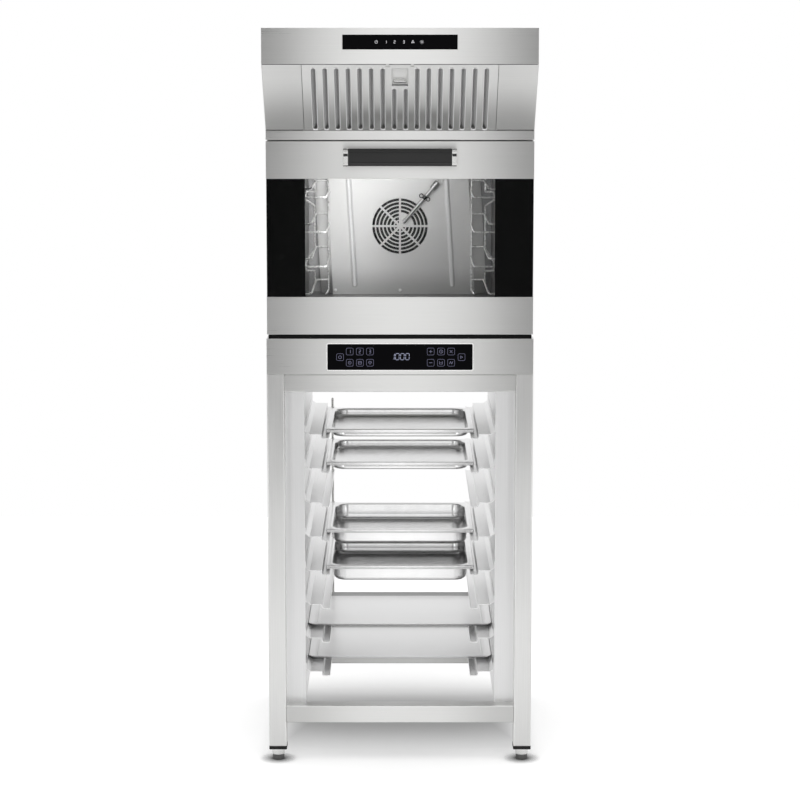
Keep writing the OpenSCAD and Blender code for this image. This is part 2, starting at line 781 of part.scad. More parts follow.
function tray_rail_z(k) = tray_level + (3 - k) * rack_pitch;
function pan_rail_z(k) = tray_rail_z(k) - pan_below;

// The bent upright, which bows out to the front twice to carry the pan rails
function bow_post() =
    let (a = pan_rail_z(0), c = pan_rail_z(2), hook = rack_back)
    [[post_x, hook, cavity_top - 8], [post_x, hook, a - 6], [rack_x - 1, bow_front + 30, a + 9],
     [rack_x, bow_front, a], [rack_x - 0.5, bow_front + 12, a - 8], [post_x, hook, a - 40],
     [post_x, hook, c + 16], [rack_x, bow_front + 10, c + 6], [rack_x, bow_front, c - 4],
     [rack_x - 1, bow_front + 26, c - 14], [post_x, hook, c - 38], [post_x, hook, tray_rail_z(3) - 8]];

module side_rack() {
    r = wire_r;
    wall_x = cavity_x - 1.2;
    color(bright_steel) translate([0, face_y, 0]) {
        wire(eased(bow_post(), 5), r);
        wire(eased([[back_post_x, rack_back, cavity_top - 8], [back_post_x, rack_back, cavity_z + 12],
            [back_post_x + 7, rack_back - 8, cavity_z + 1.8]], 5), r);
        for (k = [0 : 3]) {
            z = tray_rail_z(k) - r;
            wire(eased([[wall_x, rack_front - 26, z], [runner_x + 6, rack_front - 20, z],
                [runner_x, rack_front, z], [runner_x, rack_back, z],
                [back_post_x, rack_back, z]], 4), r);
        }
        for (k = [0 : 2]) {
            z = pan_rail_z(k) - r;
            wire(eased([[k == 1 ? wall_x : rack_x, bow_front, z], [pan_rail_x, bow_front, z],
                [pan_rail_x, rack_back, z]], 5), r);
        }
    }
}

module side_rack_right() { side_rack(); }
module side_rack_left() { mirror([1, 0, 0]) side_rack(); }

// Lamp in the cavity's roof: glass cap below, holder in the insulation
module cavity_lamp() {
    color(clear_glass)
    translate([lamp_x, face_y + lamp_y, cavity_top]) {
        rotate([180, 0, 0]) rotate_extrude() polygon([[0, 0], [lamp_r, 0], [lamp_r, 4],
            [lamp_r - 5, 9], [0, 10]]);
        cylinder(r = lamp_r - 4.3, h = insulation_t);
    }
}

// Control fascia

control_z = oven_z + 40.6;

module control_fascia() {
    x = oven_w / 2 + 1.5;
    low = oven_z + 0.4;
    fold = [[20, low], [0, low], [0, fascia_top], [shell_y0, fascia_top]];
    color(steel) difference() {
        union() {
            along_x([-x, x]) polygon(folded(reversed(fold), sheet));
            span_box([-shell_x + sheet, shell_x - sheet], [shell_y0, frame_y0], [fascia_top - sheet, fascia_top]);
            both_sides() span_box([x - sheet, x], [0, shell_y0 - 1], [low, fascia_top]);
        }
        along_y([-past, sheet + past]) translate([0, control_z]) rounded_rect(control_w + 0.4, control_h + 0.4, 3);
    }
}

// Bright rim round the control glass
module control_bezel() {
    color(bright_steel)
    along_y([-1.6, 0]) translate([0, control_z]) difference() {
        rounded_rect(control_w + 4.4, control_h + 4.4, 4);
        rounded_rect(control_w + 0.4, control_h + 0.4, 3);
    }
}

module control_glass() {
    color(dark_glass)
    along_y([-1, 2]) translate([0, control_z]) rounded_rect(control_w, control_h, 3);
}

// Circuit board behind the glass, with its display, on pads stuck to the glass
module control_board() {
    color(board_green) {
        span_box([-control_w / 2 + 8, control_w / 2 - 8], [8, 9.6], [control_z - 24, control_z + 24]);
        span_box([-30, 30], [2, 8], [control_z - 9, control_z + 15]);
        both_sides() span_box([control_w / 2 - 22, control_w / 2 - 12], [2, 8], [control_z - 20, control_z + 20]);
        span_box([60, 110], [9.6, 30], [control_z - 18, control_z + 12]);
    }
}

// Water valve on the rear panel, with its threaded inlet outside
module water_valve() {
    y0 = rear_y + sheet + insulation_t + 4;
    color(black_plastic) difference() {
        union() {
            span_box([inlet_x - 17, inlet_x + 17], [y0, oven_d - sheet - 6], [inlet_z - 17, inlet_z + 17]);
            bar_y(inlet_x, inlet_z, 17, [oven_d - sheet - 6, oven_d - sheet]);
            bar_y(inlet_x, inlet_z, inlet_r - 1.2, [oven_d - sheet - 6, oven_d + 14]);
            bar_y(inlet_x, inlet_z, inlet_r, [oven_d + 0.5, oven_d + 14]);
        }
        bar_y(inlet_x, inlet_z, pipe_r + run_fit, [y0 - past, rear_y + sheet + insulation_t + 8 + seat_gap]);
        bar_y(inlet_x, inlet_z, 8, [oven_d - 10, oven_d + 14 + past]);
    }
}

gland_bore_r = 6.5;

// Cable gland: body through the rear panel, dome outside and nut inside
module cable_gland() {
    color(black_plastic) difference() {
        union() {
            bar_y(gland_x, gland_z, gland_hole_r, [oven_d - 14, oven_d + 14]);
            along_y([oven_d, oven_d + 6]) translate([gland_x, gland_z]) circle(14, $fn = 6);
            along_y([oven_d - sheet - 5, oven_d - sheet]) translate([gland_x, gland_z]) circle(14, $fn = 6);
        }
        bar_y(gland_x, gland_z, gland_bore_r, [oven_d - 14 - past, oven_d + 14 + past]);
    }
}

// Hinge brackets: arms from behind the face frame to the door's pins
module hinge_brackets() {
    color(dark_metal)
    for (x = [-hinge_x, hinge_x]) {
        along_x([x - hinge_t / 2, x + hinge_t / 2]) difference() {
            union() {
                translate([pin_y, pin_z]) circle(7);
                translate([pin_y, pin_z - 7]) square([mouth_y - pin_y, 14]);
            }
            translate([pin_y, pin_z]) circle(hinge_pin_r + run_fit);
        }
        span_box([x - 12, x + 12], [mouth_y, mouth_y + 2], [pin_z - 14, pin_z + 14]);
    }
}

// Door

door_x = oven_w / 2;

// Opening in the door's foot that lets a hinge arm swing through
module hinge_notches() {
    for (x = [-hinge_x, hinge_x])
        span_box([x - 6, x + 6], [sheet + 0.8, door_t + past], [door_z - past, pin_z + 10]);
}

module door_outer_glass() {
    color(clear_glass)
    span_box([-door_x, door_x], [1, 1 + pane_t], [window_z0 + 0.2, window_z1 - 0.2]);
}

// Black enamel on the inner face of the outer pane, left and right of the window
module door_frit_bands() {
    y = 1 + pane_t;
    color(dark_glass)
    both_sides() span_box([window_w / 2, door_x - 0.5], [y, y + 0.6], [window_z0 + 0.4, window_z1 - 0.4]);
}

module door_upper_panel() {
    fold = [[door_t - 1, door_top], [0, door_top], [0, window_z1], [7, window_z1]];
    color(steel) {
        along_x([-door_x, door_x]) polygon(folded(fold, sheet));
        both_sides() span_box([door_x - sheet, door_x], [0, door_t - 1], [window_z1, door_top]);
    }
}

module door_lower_panel() {
    fold = [[7, window_z0], [0, window_z0], [0, door_z], [door_t - 1, door_z]];
    color(steel) difference() {
        union() {
            along_x([-door_x, door_x]) polygon(folded(fold, sheet));
            both_sides() span_box([door_x - sheet, door_x], [0, door_t - 1], [door_z, window_z0]);
        }
        hinge_notches();
    }
}

// Folded tray that closes the door's back, with the window's tunnel and the hinge pins
module door_inner_frame() {
    x = door_x - sheet;
    z0 = door_z + sheet;
    z1 = door_top - sheet;
    wx = window_w / 2 + 2.5;
    wz0 = window_z0 - 6;
    wz1 = window_z1 + 6;
    y0 = 9;
    tunnel_y1 = door_t - sheet - pane_t - 2 * seat_gap;
    color(steel) {
        difference() {
            union() {
                difference() {
                    span_box([-x, x], [y0, door_t], [z0, z1]);
                    span_box([-x + sheet, x - sheet], [y0 - past, door_t - sheet], [z0 + sheet, z1 - sheet]);
                }
                difference() {
                    span_box([-wx - sheet, wx + sheet], [y0, tunnel_y1], [wz0 - sheet, wz1 + sheet]);
                    span_box([-wx, wx], [y0 - past, door_t], [wz0, wz1]);
                }
                both_sides() span_box([wx, x - sheet / 2], [y0, y0 + sheet], [wz0 - sheet, wz1 + sheet]);
            }
            span_box([-wx - 5, wx + 5], [door_t - sheet - past, door_t + past], [wz0 - 5, wz1 + 5]);
            hinge_notches();
        }
        for (s = [-hinge_x, hinge_x]) {
            for (c = [-6 - sheet, 6])
                span_box([s + c, s + c + sheet], [sheet + 0.8, door_t - sheet], [z0, pin_z + 12]);
            along_x([s - 6 - sheet, s + 6 + sheet]) translate([pin_y, pin_z]) circle(hinge_pin_r);
        }
    }
}

module door_inner_glass() {
    y1 = door_t - sheet - seat_gap;
    wx = window_w / 2 + 2.5 + 14;
    color(clear_glass)
    span_box([-wx, wx], [y1 - pane_t, y1], [window_z0 - 20, window_z1 + 20]);
}

grip_y = -handle_reach + grip_t / 2;

// Side outline of the grip: flat back, bowed front, round edges
module grip_outline(extra) {
    r = grip_t / 2 + extra;
    h = grip_h / 2 + extra;
    translate([grip_y, handle_z]) {
        capsule(2 * r, -h, h);
        translate([0, -h + r]) square([r, 2 * (h - r)]);
    }
}

module handle_grip() {
    color(black_plastic)
    along_x([-handle_w / 2 + handle_end_w, handle_w / 2 - handle_end_w]) grip_outline(0);
}

// Metal ends: caps round the grip's ends, with arms back to the door
module handle_ends() {
    x1 = handle_w / 2;
    x0 = x1 - handle_end_w;
    color(bright_steel) both_sides() {
        along_x([x0, x1]) {
            grip_outline(0.6);
            translate([grip_y, handle_z - grip_h / 2 + 6]) square([-grip_y, grip_h - 12]);
        }
        along_x([x0 - 3, x1]) translate([-2.5, handle_z - grip_h / 2 + 3]) square([2.5, grip_h - 6]);
    }
}

// Hood

// Stands on the slope: local Y runs up the slope and local Z points out of the hood
module on_slope() {
    translate([0, face_y, slope_z]) rotate([180 - slope_angle, 0, 0]) children();
}

module slope_box(x, u, depth) {
    on_slope() translate([x[0], u[0], -depth[1]]) cube([x[1] - x[0], u[1] - u[0], depth[1] - depth[0]]);
}

// Sides, top and back of the hood, with the outlet slots behind
module hood_casing() {
    edge_y = -slope_run + sheet;
    side = [[hood_back, hood_z], [0, hood_z], [0, slope_z],
        [edge_y, slope_z - edge_y * slope_rise / slope_run], [edge_y, hood_top], [hood_back, hood_top]];
    lid_y = -hood_reach + 24;
    color(steel) {
        both_sides() along_x([hood_x - sheet, hood_x]) polygon(side);
        span_box([-hood_x + sheet, hood_x - sheet], [lid_y, hood_back], [hood_top - sheet, hood_top]);
        both_sides() span_box([hood_x - 30, hood_x - sheet], [62, hood_back - sheet], [hood_z, hood_z + sheet]);
        along_y([hood_back - sheet, hood_back]) difference() {
            translate([-hood_x + sheet, hood_z]) square([2 * (hood_x - sheet), hood_h - sheet]);
            for (k = [-5 : 5]) translate([k * 13, 0]) capsule(6, duct_z0 + 4, duct_z1 - 4);
        }
    }
}

// Front band, with a lip folded in above the filter and a lip under the lid
module hood_fascia() {
    lip = 16;
    dir = [sin(slope_angle), cos(slope_angle)];
    front = -hood_reach;
    fold = [[front, band_z] + [0, 0.4] + lip * dir, [front, band_z + 0.4], [front, hood_top],
        [front + 24, hood_top]];
    color(steel) difference() {
        union() {
            along_x([-hood_x + sheet, hood_x - sheet]) polygon(folded(reversed(fold), sheet));
            span_box([-hood_x, hood_x], [front, front + sheet], [band_z + 1.6, hood_top]);
        }
        along_y([front - past, front + sheet + past]) translate([0, hood_glass_z])
            square([hood_glass_w + 0.4, hood_glass_h + 0.4], center = true);
    }
}

hood_glass_z = band_z + 47.8;

module hood_control_glass() {
    color(dark_glass)
    along_y([-hood_reach, -hood_reach + 4]) translate([0, hood_glass_z])
        square([hood_glass_w, hood_glass_h], center = true);
}

infill_x0 = filter_w / 2 + 0.8;

// Slanted panels beside the filter, with flanges that hold its pivots
module hood_infill_panels() {
    color(steel) both_sides() difference() {
        union() {
            slope_box([infill_x0, hood_x - sheet], [0.6, slope_len - 1.2], [0, sheet]);
            slope_box([infill_x0, infill_x0 + sheet], [0.6, slope_len - 1.2], [0, filter_t + 2]);
        }
        on_slope() translate([0, filter_pivot, -filter_pivot]) rotate([0, 90, 0])
            cylinder(r = filter_pin_r + run_fit, h = hood_x - 10);
    }
}

// Lower trim: a lip that leans back a little, over the door
module hood_lower_trim() {
    lean = 3;
    fold = [[60, hood_z], [0, hood_z], [lean, slope_z - 1], [26, slope_z - 1]];
    color(steel) along_x([-hood_x + sheet, hood_x - sheet]) polygon(folded(reversed(fold), sheet));
}

// Filter

filter_x = filter_w / 2;
filter_u = [0.6, slope_len - 1.2];
cup_w = 35;
cup_u = [slope_len - 67, slope_len - 13];
slot_u = [4.5, slope_len - 11];
short_slot_u1 = cup_u[0] - 7;
pairs = floor((filter_x - slot_w) / slot_pitch + 0.5);
latch_travel = 6;
pleats = 34;
tongue_x = 27;
tongue_w = 6;

// Places a slot outline at each filter slot; the middle pair stops below the latch
module each_slot(w, grow) {
    for (i = [0 : pairs - 1], s = [-1, 1])
        translate([s * (i + 0.5) * slot_pitch, 0])
            capsule(w, slot_u[0] - grow, (i == 0 ? short_slot_u1 : slot_u[1]) + grow);
}

// Slotted front with a raised lip round each slot, side walls and a plain slotted back
module hood_filter_frame() {
    lip = 1.3;
    color(bright_steel) {
        on_slope() difference() {
            union() {
                translate([-filter_x, filter_u[0], -filter_t])
                    cube([filter_w, filter_u[1] - filter_u[0], filter_t]);
                linear_extrude(1.2) each_slot(slot_w + 2 * lip, lip);
            }
            translate([-filter_x + 1, filter_u[0] + 1, -filter_t + 1])
                cube([filter_w - 2, filter_u[1] - filter_u[0] - 2, filter_t - 2]);
            translate([0, 0, -1 - past]) linear_extrude(3 + 2 * past) each_slot(slot_w, 0);
            translate([0, 0, -filter_t - past]) linear_extrude(1 + 2 * past)
                for (k = [-7 : 7]) translate([k * slot_pitch, 0]) capsule(slot_w, 14, slope_len - 16);
            translate([-cup_w / 2, cup_u[0], -1 - past]) cube([cup_w, cup_u[1] - cup_u[0], 1 + 2 * past]);
            for (x = [-tongue_x, tongue_x]) translate([x - tongue_w / 2 - 0.4, slope_len - 9, -5.4])
                cube([tongue_w + 0.8, 12, 5.4 + past]);
        }
        on_slope() translate([0, filter_pivot, -filter_pivot]) rotate([0, 90, 0]) both_ends(filter_x - 1)
            cylinder(r = filter_pin_r, h = 3.6);
    }
}

// Repeats a piece that points along local Z, at each end of a span
module both_ends(half) {
    translate([0, 0, half]) children();
    mirror([0, 0, 1]) translate([0, 0, half]) children();
}

// Pleated mat of grease mesh inside the frame, cut away round the latch
module hood_filter_mesh() {
    mat_t = 0.6;
    fold_t = 3 * mat_t;
    near = 1 + seat_gap;
    far = filter_t - near;
    half = filter_x - near - mat_t;
    pleat = [for (i = [0 : 2 * pleats]) [-half + i * half / pleats, i % 2 == 0 ? -far : -near - fold_t]];
    color(dark_metal) difference() {
        on_slope() translate([0, filter_u[1] - near, 0]) rotate([90, 0, 0])
            linear_extrude(filter_u[1] - filter_u[0] - 2 * near) polygon(folded(pleat, mat_t));
        slope_box([-tongue_x - 6, tongue_x + 6], [cup_u[0] - 3 - latch_travel, slope_len], [0, 11]);
    }
}

// Sprung latch: a finger cup with its pull lip, a crossbar, and two tongues in the top seam
module hood_filter_latch() {
    u0 = cup_u[0] + latch_travel + 0.6;
    u1 = cup_u[1] - 0.6;
    x = cup_w / 2 - 0.6;
    color(bright_steel) {
        difference() {
            slope_box([-x, x], [u0, u1], [0.2, 9.5]);
            slope_box([-x + 1.5, x - 1.5], [u0 + 1.5, u1 - 1.5], [-past, 8]);
        }
        slope_box([-x + 5, x - 5], [u0 + 4, u0 + 8], [1.5, 8.5]);
        slope_box([-tongue_x - 4, tongue_x + 4], [u1 - 12, u1 - 6], [5.6, 9.5]);
        both_sides() slope_box([tongue_x - tongue_w / 2, tongue_x + tongue_w / 2],
            [u1 - 12, slope_len - 0.8], [1.4, 5]);
        both_sides() slope_box([tongue_x - tongue_w / 2, tongue_x + tongue_w / 2],
            [u1 - 12, u1 - 6], [5, 6]);
    }
}

// Extraction blower

wheel_w = 130;
blower_y = hood_back - 245;
blower_z = hood_z + 118;
scroll_r = wheel_r + 20;
duct_z0 = blower_z + 10;
duct_z1 = blower_z + scroll_r;
blower_x = wheel_w / 2 + 8;
blower_shaft_r = 5;

module scroll_outline(grow) {
    translate([blower_y, blower_z]) circle(scroll_r + grow, $fn = 96);
    translate([blower_y, duct_z0 - grow]) square([hood_back - sheet - seat_gap - blower_y, duct_z1 - duct_z0 + 2 * grow]);
}

// Scroll with an inlet ring, hung from the lid by two straps, with its motor on the closed side
module hood_blower_housing() {
    wall = 1.5;
    color(dark_metal) {
        difference() {
            along_x([-blower_x, blower_x]) scroll_outline(0);
            along_x([-blower_x + wall, blower_x - wall]) {
                scroll_outline(-wall);
                translate([hood_back - 30, duct_z0 + wall]) square([40, duct_z1 - duct_z0 - 2 * wall]);
            }
            along_x([blower_x - wall - past, blower_x + past])
                translate([blower_y, blower_z]) circle(wheel_r - 14);
            along_x([-blower_x - past, -blower_x + wall + past])
                translate([blower_y, blower_z]) circle(blower_shaft_r + run_fit);
        }
        for (x = [-50, 50])
            span_box([x - 10, x + 10], [blower_y - 12, blower_y + 12],
                [blower_z + scroll_r - 1, hood_top - sheet]);
        along_x([-blower_x - 46, -blower_x]) translate([blower_y, blower_z]) difference() {
            circle(38);
            circle(blower_shaft_r + run_fit);
        }
    }
}

// Drum wheel with forward blades, on a shaft that reaches into the motor
module hood_blower_wheel() {
    x0 = -wheel_w / 2;
    x1 = wheel_w / 2;
    count = 28;
    color(black_plastic) {
        along_x([x0, x0 + 2]) translate([blower_y, blower_z]) circle(wheel_r, $fn = 96);
        along_x([x1 - 2, x1]) translate([blower_y, blower_z]) difference() {
            circle(wheel_r, $fn = 96);
            circle(wheel_r - 12, $fn = 96);
        }
        along_x([x0 + 1, x1 - 1]) translate([blower_y, blower_z])
            for (k = [0 : count - 1]) rotate(360 * k / count)
                translate([wheel_r - 11, 0]) rotate(-30) square([11, 1.2]);
        along_x([x0 - 50, x0 + 30]) translate([blower_y, blower_z]) circle(blower_shaft_r);
        along_x([x0 + 1, x0 + 24]) translate([blower_y, blower_z]) circle(14);
    }
}

stand_legs();
stand_top_rails();
stand_bottom_rails();
leg_end_plugs();
rack_panels();
tray_runners();
rear_stop_rod();
foot_front_left();
foot_front_right();
foot_rear_left();
foot_rear_right();
shallow_pan_upper();
shallow_pan_lower();
deep_pan_upper();
deep_pan_lower();
baking_tray_upper();
baking_tray_lower();
oven_shell();
oven_back_panel();
oven_base();
cavity_liner();
cavity_face_frame();
insulation();
door_gasket();
fan_deflector();
deflector_screws();
fan_motor();
fan_impeller();
ring_heater();
water_pipe();
pipe_clip();
side_rack_left();
side_rack_right();
cavity_lamp();
control_fascia();
control_bezel();
control_glass();
control_board();
water_valve();
cable_gland();
hinge_brackets();
door_outer_glass();
door_upper_panel();
door_lower_panel();
door_frit_bands();
door_inner_frame();
door_inner_glass();
handle_grip();
handle_ends();
hood_casing();
hood_fascia();
hood_control_glass();
hood_infill_panels();
hood_lower_trim();
hood_filter_frame();
hood_filter_mesh();
hood_filter_latch();
hood_blower_housing();
hood_blower_wheel();
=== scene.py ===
# %% [markdown]
# # A convection oven under its hood, on a stand for pans and trays
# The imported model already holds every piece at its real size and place. This lesson
# dresses it: first the camera, the light and the floor, then the finishes, then the
# pieces whose looks need a finer mesh than the construction has. Everything is in
# metres, with X to the right, Y to the back and Z up from the floor.

# %% Load the frame
import math

import bmesh
import bpy
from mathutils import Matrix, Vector


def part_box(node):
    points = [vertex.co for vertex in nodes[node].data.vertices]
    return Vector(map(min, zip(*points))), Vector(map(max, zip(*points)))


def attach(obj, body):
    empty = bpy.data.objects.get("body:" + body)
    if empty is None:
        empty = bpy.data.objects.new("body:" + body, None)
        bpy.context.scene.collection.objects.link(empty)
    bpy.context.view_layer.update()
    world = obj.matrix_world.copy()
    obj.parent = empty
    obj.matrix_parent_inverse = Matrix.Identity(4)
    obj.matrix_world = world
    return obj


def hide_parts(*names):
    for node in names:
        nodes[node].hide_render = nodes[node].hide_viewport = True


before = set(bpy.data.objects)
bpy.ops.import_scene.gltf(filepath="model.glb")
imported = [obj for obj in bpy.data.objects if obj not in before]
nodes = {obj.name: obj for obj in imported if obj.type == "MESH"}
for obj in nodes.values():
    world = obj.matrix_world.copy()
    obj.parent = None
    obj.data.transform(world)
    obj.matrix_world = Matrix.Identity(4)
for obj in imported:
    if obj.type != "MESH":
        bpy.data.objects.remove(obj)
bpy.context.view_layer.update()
scene = bpy.context.scene
scene.view_settings.view_transform = "Standard"
MM = 0.001

# %% [markdown]
# The photograph was taken level from eye height with a long lens, and its verticals are
# parallel. A studio camera would stay level and shift its lens down. Here most of that
# shift is a tilt, because the other views keep the shift, and a large one would push them
# aside. Standing a little further back with a longer lens keeps the verticals straight.

# %% Camera
EYE_HEIGHT, EYE_DISTANCE = 1.665, 5.3
DOOR_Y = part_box("door_outer_glass")[0].y - 0.001
FOCAL_PIXELS, IMAGE_SIDE, SENSOR = 2359, 800, 36.0
TILT, LENS_SHIFT = math.radians(7.89), 0.045
FARTHEST = 60

camera_data = bpy.data.cameras.new("camera")
camera_data.sensor_width = SENSOR
camera_data.lens = SENSOR * FOCAL_PIXELS / IMAGE_SIDE
camera_data.shift_y = -LENS_SHIFT
camera_data.clip_end = FARTHEST
camera = bpy.data.objects.new("camera", camera_data)
camera.location = (0, DOOR_Y - EYE_DISTANCE, EYE_HEIGHT)
camera.rotation_euler = (math.pi / 2 - TILT, 0, 0)
scene.collection.objects.link(camera)
scene.camera = camera
print("lens", round(camera_data.lens, 1), "mm, tilt", round(math.degrees(TILT), 2), "degrees")

# %% [markdown]
# Every finish below is a node tree. Two small functions make a node and feed its inputs,
# with other nodes, with their sockets or with plain values, and the rest build on them.

# %% Small helpers for node trees
FINISH = {}


def feed(tree, node, inputs):
    """Links sockets or whole nodes, and sets plain values, each on the input it names."""
    for key, value in inputs.items():
        if isinstance(value, bpy.types.Node):
            value = value.outputs[0]
        if isinstance(value, bpy.types.NodeSocket):
            tree.links.new(value, node.inputs[key])
        else:
            node.inputs[key].default_value = value


def node_in(tree, kind, inputs=None, **settings):
    """Adds a node, sets its properties, feeds its inputs, and returns it."""
    made = tree.nodes.new(kind)
    for key, value in settings.items():
        setattr(made, key, value)
    feed(tree, made, inputs or {})
    return made


def math_in(tree, operation, a, b=None):
    """Adds a Math node fed by nodes, sockets or plain numbers."""
    inputs = {0: a} if b is None else {0: a, 1: b}
    return node_in(tree, "ShaderNodeMath", inputs, operation=operation)


def blend_in(tree, mask, low, high):
    """Goes from low to high as the mask goes from 0 to 1. Each may be a node or a number."""
    fixed = isinstance(low, (int, float)) and isinstance(high, (int, float))
    rise = high - low if fixed else math_in(tree, "SUBTRACT", high, low)
    return math_in(tree, "ADD", math_in(tree, "MULTIPLY", mask, rise), low)


def smooth_in(tree, source, start, end):
    """A soft step from 0 at start to 1 at end."""
    return node_in(tree, "ShaderNodeMapRange",
                   {"Value": source, "From Min": start, "From Max": end},
                   interpolation_type="SMOOTHSTEP")


def coords_in(tree, kind="Object"):
    """X, Y and Z of a place on the object, or of a direction in the world."""
    coords = node_in(tree, "ShaderNodeTexCoord")
    return node_in(tree, "ShaderNodeSeparateXYZ", {0: coords.outputs[kind]}).outputs


def tinted(tree, base, value):
    """Multiplies a fixed colour by a changing value."""
    return node_in(tree, "ShaderNodeVectorMath", {0: base, "Scale": value}, operation="SCALE")


def new_material(name, dressed=""):
    """Adds a finish, puts it on nodes of the frame, and returns its tree and surface."""
    material = FINISH[name] = bpy.data.materials.new(name)
    material.use_nodes = True
    for node in dressed.split():
        nodes[node].data.materials.clear()
        nodes[node].data.materials.append(material)
    return material.node_tree, material.node_tree.nodes["Principled BSDF"]


# %% [markdown]
# The world is the studio. To the camera it is plain white. Polished and brushed steel see
# a dim wall behind the camera, bright walls at the sides and behind the oven, and one dark
# beam high in front, which draws the black line that chrome needs. To matt surfaces it is
# an even grey.

# %% World
BACKGROUND_WHITE, SKY_FOR_MATT = 1.0, 0.80
FRONT_LOW, FRONT_HIGH, SIDE_BRIGHT = 0.10, 0.27, 0.95
BEAM_DARK, BEAM_LOW, BEAM_HIGH = 0.04, 0.34, 0.50
# Where each wall begins and where it is full, as a component of the ray's direction
FLANK, BEHIND, ABOVE, HORIZON = (0.30, 0.75), (-0.10, 0.25), (0.55, 0.80), (-0.20, 0.12)

world = bpy.data.worlds.new("studio")
scene.world = world
world.use_nodes = True
tree = world.node_tree
tree.nodes.clear()
path = node_in(tree, "ShaderNodeLightPath").outputs
x, y, z = coords_in(tree, "Generated")
flank = smooth_in(tree, math_in(tree, "ABSOLUTE", x), *FLANK)
behind = smooth_in(tree, y, *BEHIND)
above = smooth_in(tree, z, *ABOVE)
bright = math_in(tree, "MAXIMUM", math_in(tree, "MAXIMUM", flank, behind), above)
beam = math_in(tree, "MULTIPLY", math_in(tree, "GREATER_THAN", z, BEAM_LOW),
               math_in(tree, "LESS_THAN", z, BEAM_HIGH))
beam = math_in(tree, "MULTIPLY", beam, math_in(tree, "SUBTRACT", 1.0, behind))
front = blend_in(tree, smooth_in(tree, z, *HORIZON), FRONT_LOW, FRONT_HIGH)
studio = blend_in(tree, bright, front, SIDE_BRIGHT)
studio = blend_in(tree, beam, studio, BEAM_DARK)
mirror = math_in(tree, "MAXIMUM", path["Is Glossy Ray"], path["Is Transmission Ray"])
level = blend_in(tree, mirror, SKY_FOR_MATT, studio)
level = blend_in(tree, path["Is Camera Ray"], level, BACKGROUND_WHITE)
shader = node_in(tree, "ShaderNodeBackground", {"Color": (1, 1, 1, 1), "Strength": level})
node_in(tree, "ShaderNodeOutputWorld", {0: shader})

# %% [markdown]
# Product studios hang a tall narrow soft light close in front of brushed steel. It gives
# each flat face a bright middle and darker ends. An area light shines one way only, so
# the camera looks through its back. Two small lights inside the cavity, one under its
# roof and one upright at the left, where a real oven has its lamp, make the fan cover
# fall from bright at the left to dark at the right. Two thin strips beside the cover, just
# behind its face, graze the wings that turn back to the walls. Two low lights stand wide
# of the rack, where the flat faces don't mirror them, and light the pans' rounded corners.

# %% Lights


def area_light(name, at, aim, size, radiance):
    """A soft rectangle. Its power follows from its size and how bright it looks."""
    data = bpy.data.lights.new(name, "AREA")
    data.shape = "RECTANGLE"
    data.size, data.size_y = size
    data.energy = math.pi * size[0] * size[1] * radiance
    lamp = bpy.data.objects.new(name, data)
    lamp.location = at
    lamp.rotation_euler = (Vector(aim) - Vector(at)).to_track_quat("-Z", "Y").to_euler()
    scene.collection.objects.link(lamp)


STRIP_AWAY, STRIP_MIDDLE, STRIP_SIZE = 1.8, 1.45, (0.56, 2.3)
area_light("front_strip", (0, DOOR_Y - STRIP_AWAY, STRIP_MIDDLE), (0, DOOR_Y, STRIP_MIDDLE),
           STRIP_SIZE, 1.02)
area_light("top_softbox", (0, -0.6, 4.2), (0, 0, 1.0), (2.4, 2.4), 1.0)
cavity_low, cavity_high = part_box("cavity_liner")
area_light("oven_light", (-0.05, cavity_low.y + 0.09, cavity_high.z - 0.02),
           (-0.02, cavity_high.y - 0.1, cavity_low.z + 0.10), (0.26, 0.12), 5.2)
area_light("wing_light", (-0.13, cavity_low.y + 0.04, cavity_low.z + 0.17),
           (-0.16, cavity_high.y - 0.1, cavity_low.z + 0.15), (0.05, 0.28), 5)
wing_y, wing_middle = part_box("fan_deflector")[0].y, cavity_low.z + 0.20
for side, label, radiance in ((-1, "left", 2.2), (1, "right", 0.5)):
    area_light("wing_edge_" + label, (side * 0.215, wing_y + 0.008, wing_middle),
               (side * 0.187, wing_y + 0.028, wing_middle), (0.016, 0.30), radiance)
    area_light("rack_fill_" + label, (side * 0.85, DOOR_Y - 1.3, 0.55), (0, 0.1, 0.5),
               (0.35, 0.8), 1.8)

# %% [markdown]
# The floor is a plain pale sweep. To the camera it glows just enough to vanish into the
# white background. In polished metal its glow is strong in the middle and falls off to the
# sides. Under the stand it is darkened by a painted shadow, a soft patch fixed to the floor.
# Under the stand and round each foot, an occlusion mask measures how much of the room is
# hidden, so the soft shadow stays.

# %% Floor
FLOOR_REACH, FLOOR_COLOUR = 2.6, 0.80
FLOOR_GLOW, MIRRORED_MIDDLE, MIRRORED_SIDE = 0.46, 0.49, 0.09
SHADOW_REACH, SHADOW_TONE = 0.5, 0.60
FOOT_SHADOW_REACH, FOOT_SHADOW_POWER = 0.036, 2.5
# The painted shadow under the stand: its tone, and its middle along Y.
PAINTED_SHADOW_TONE, PAINTED_SHADOW_Y = 0.40, 0.16
# Distances over which the mirrored glow falls off, and the painted shadow under the stand ends
MIRROR_EDGE, PAINTED_SHADOW_EDGE_X, PAINTED_SHADOW_EDGE_Y = (0.08, 0.27), (0.20, 0.34), (0.0, 0.40)

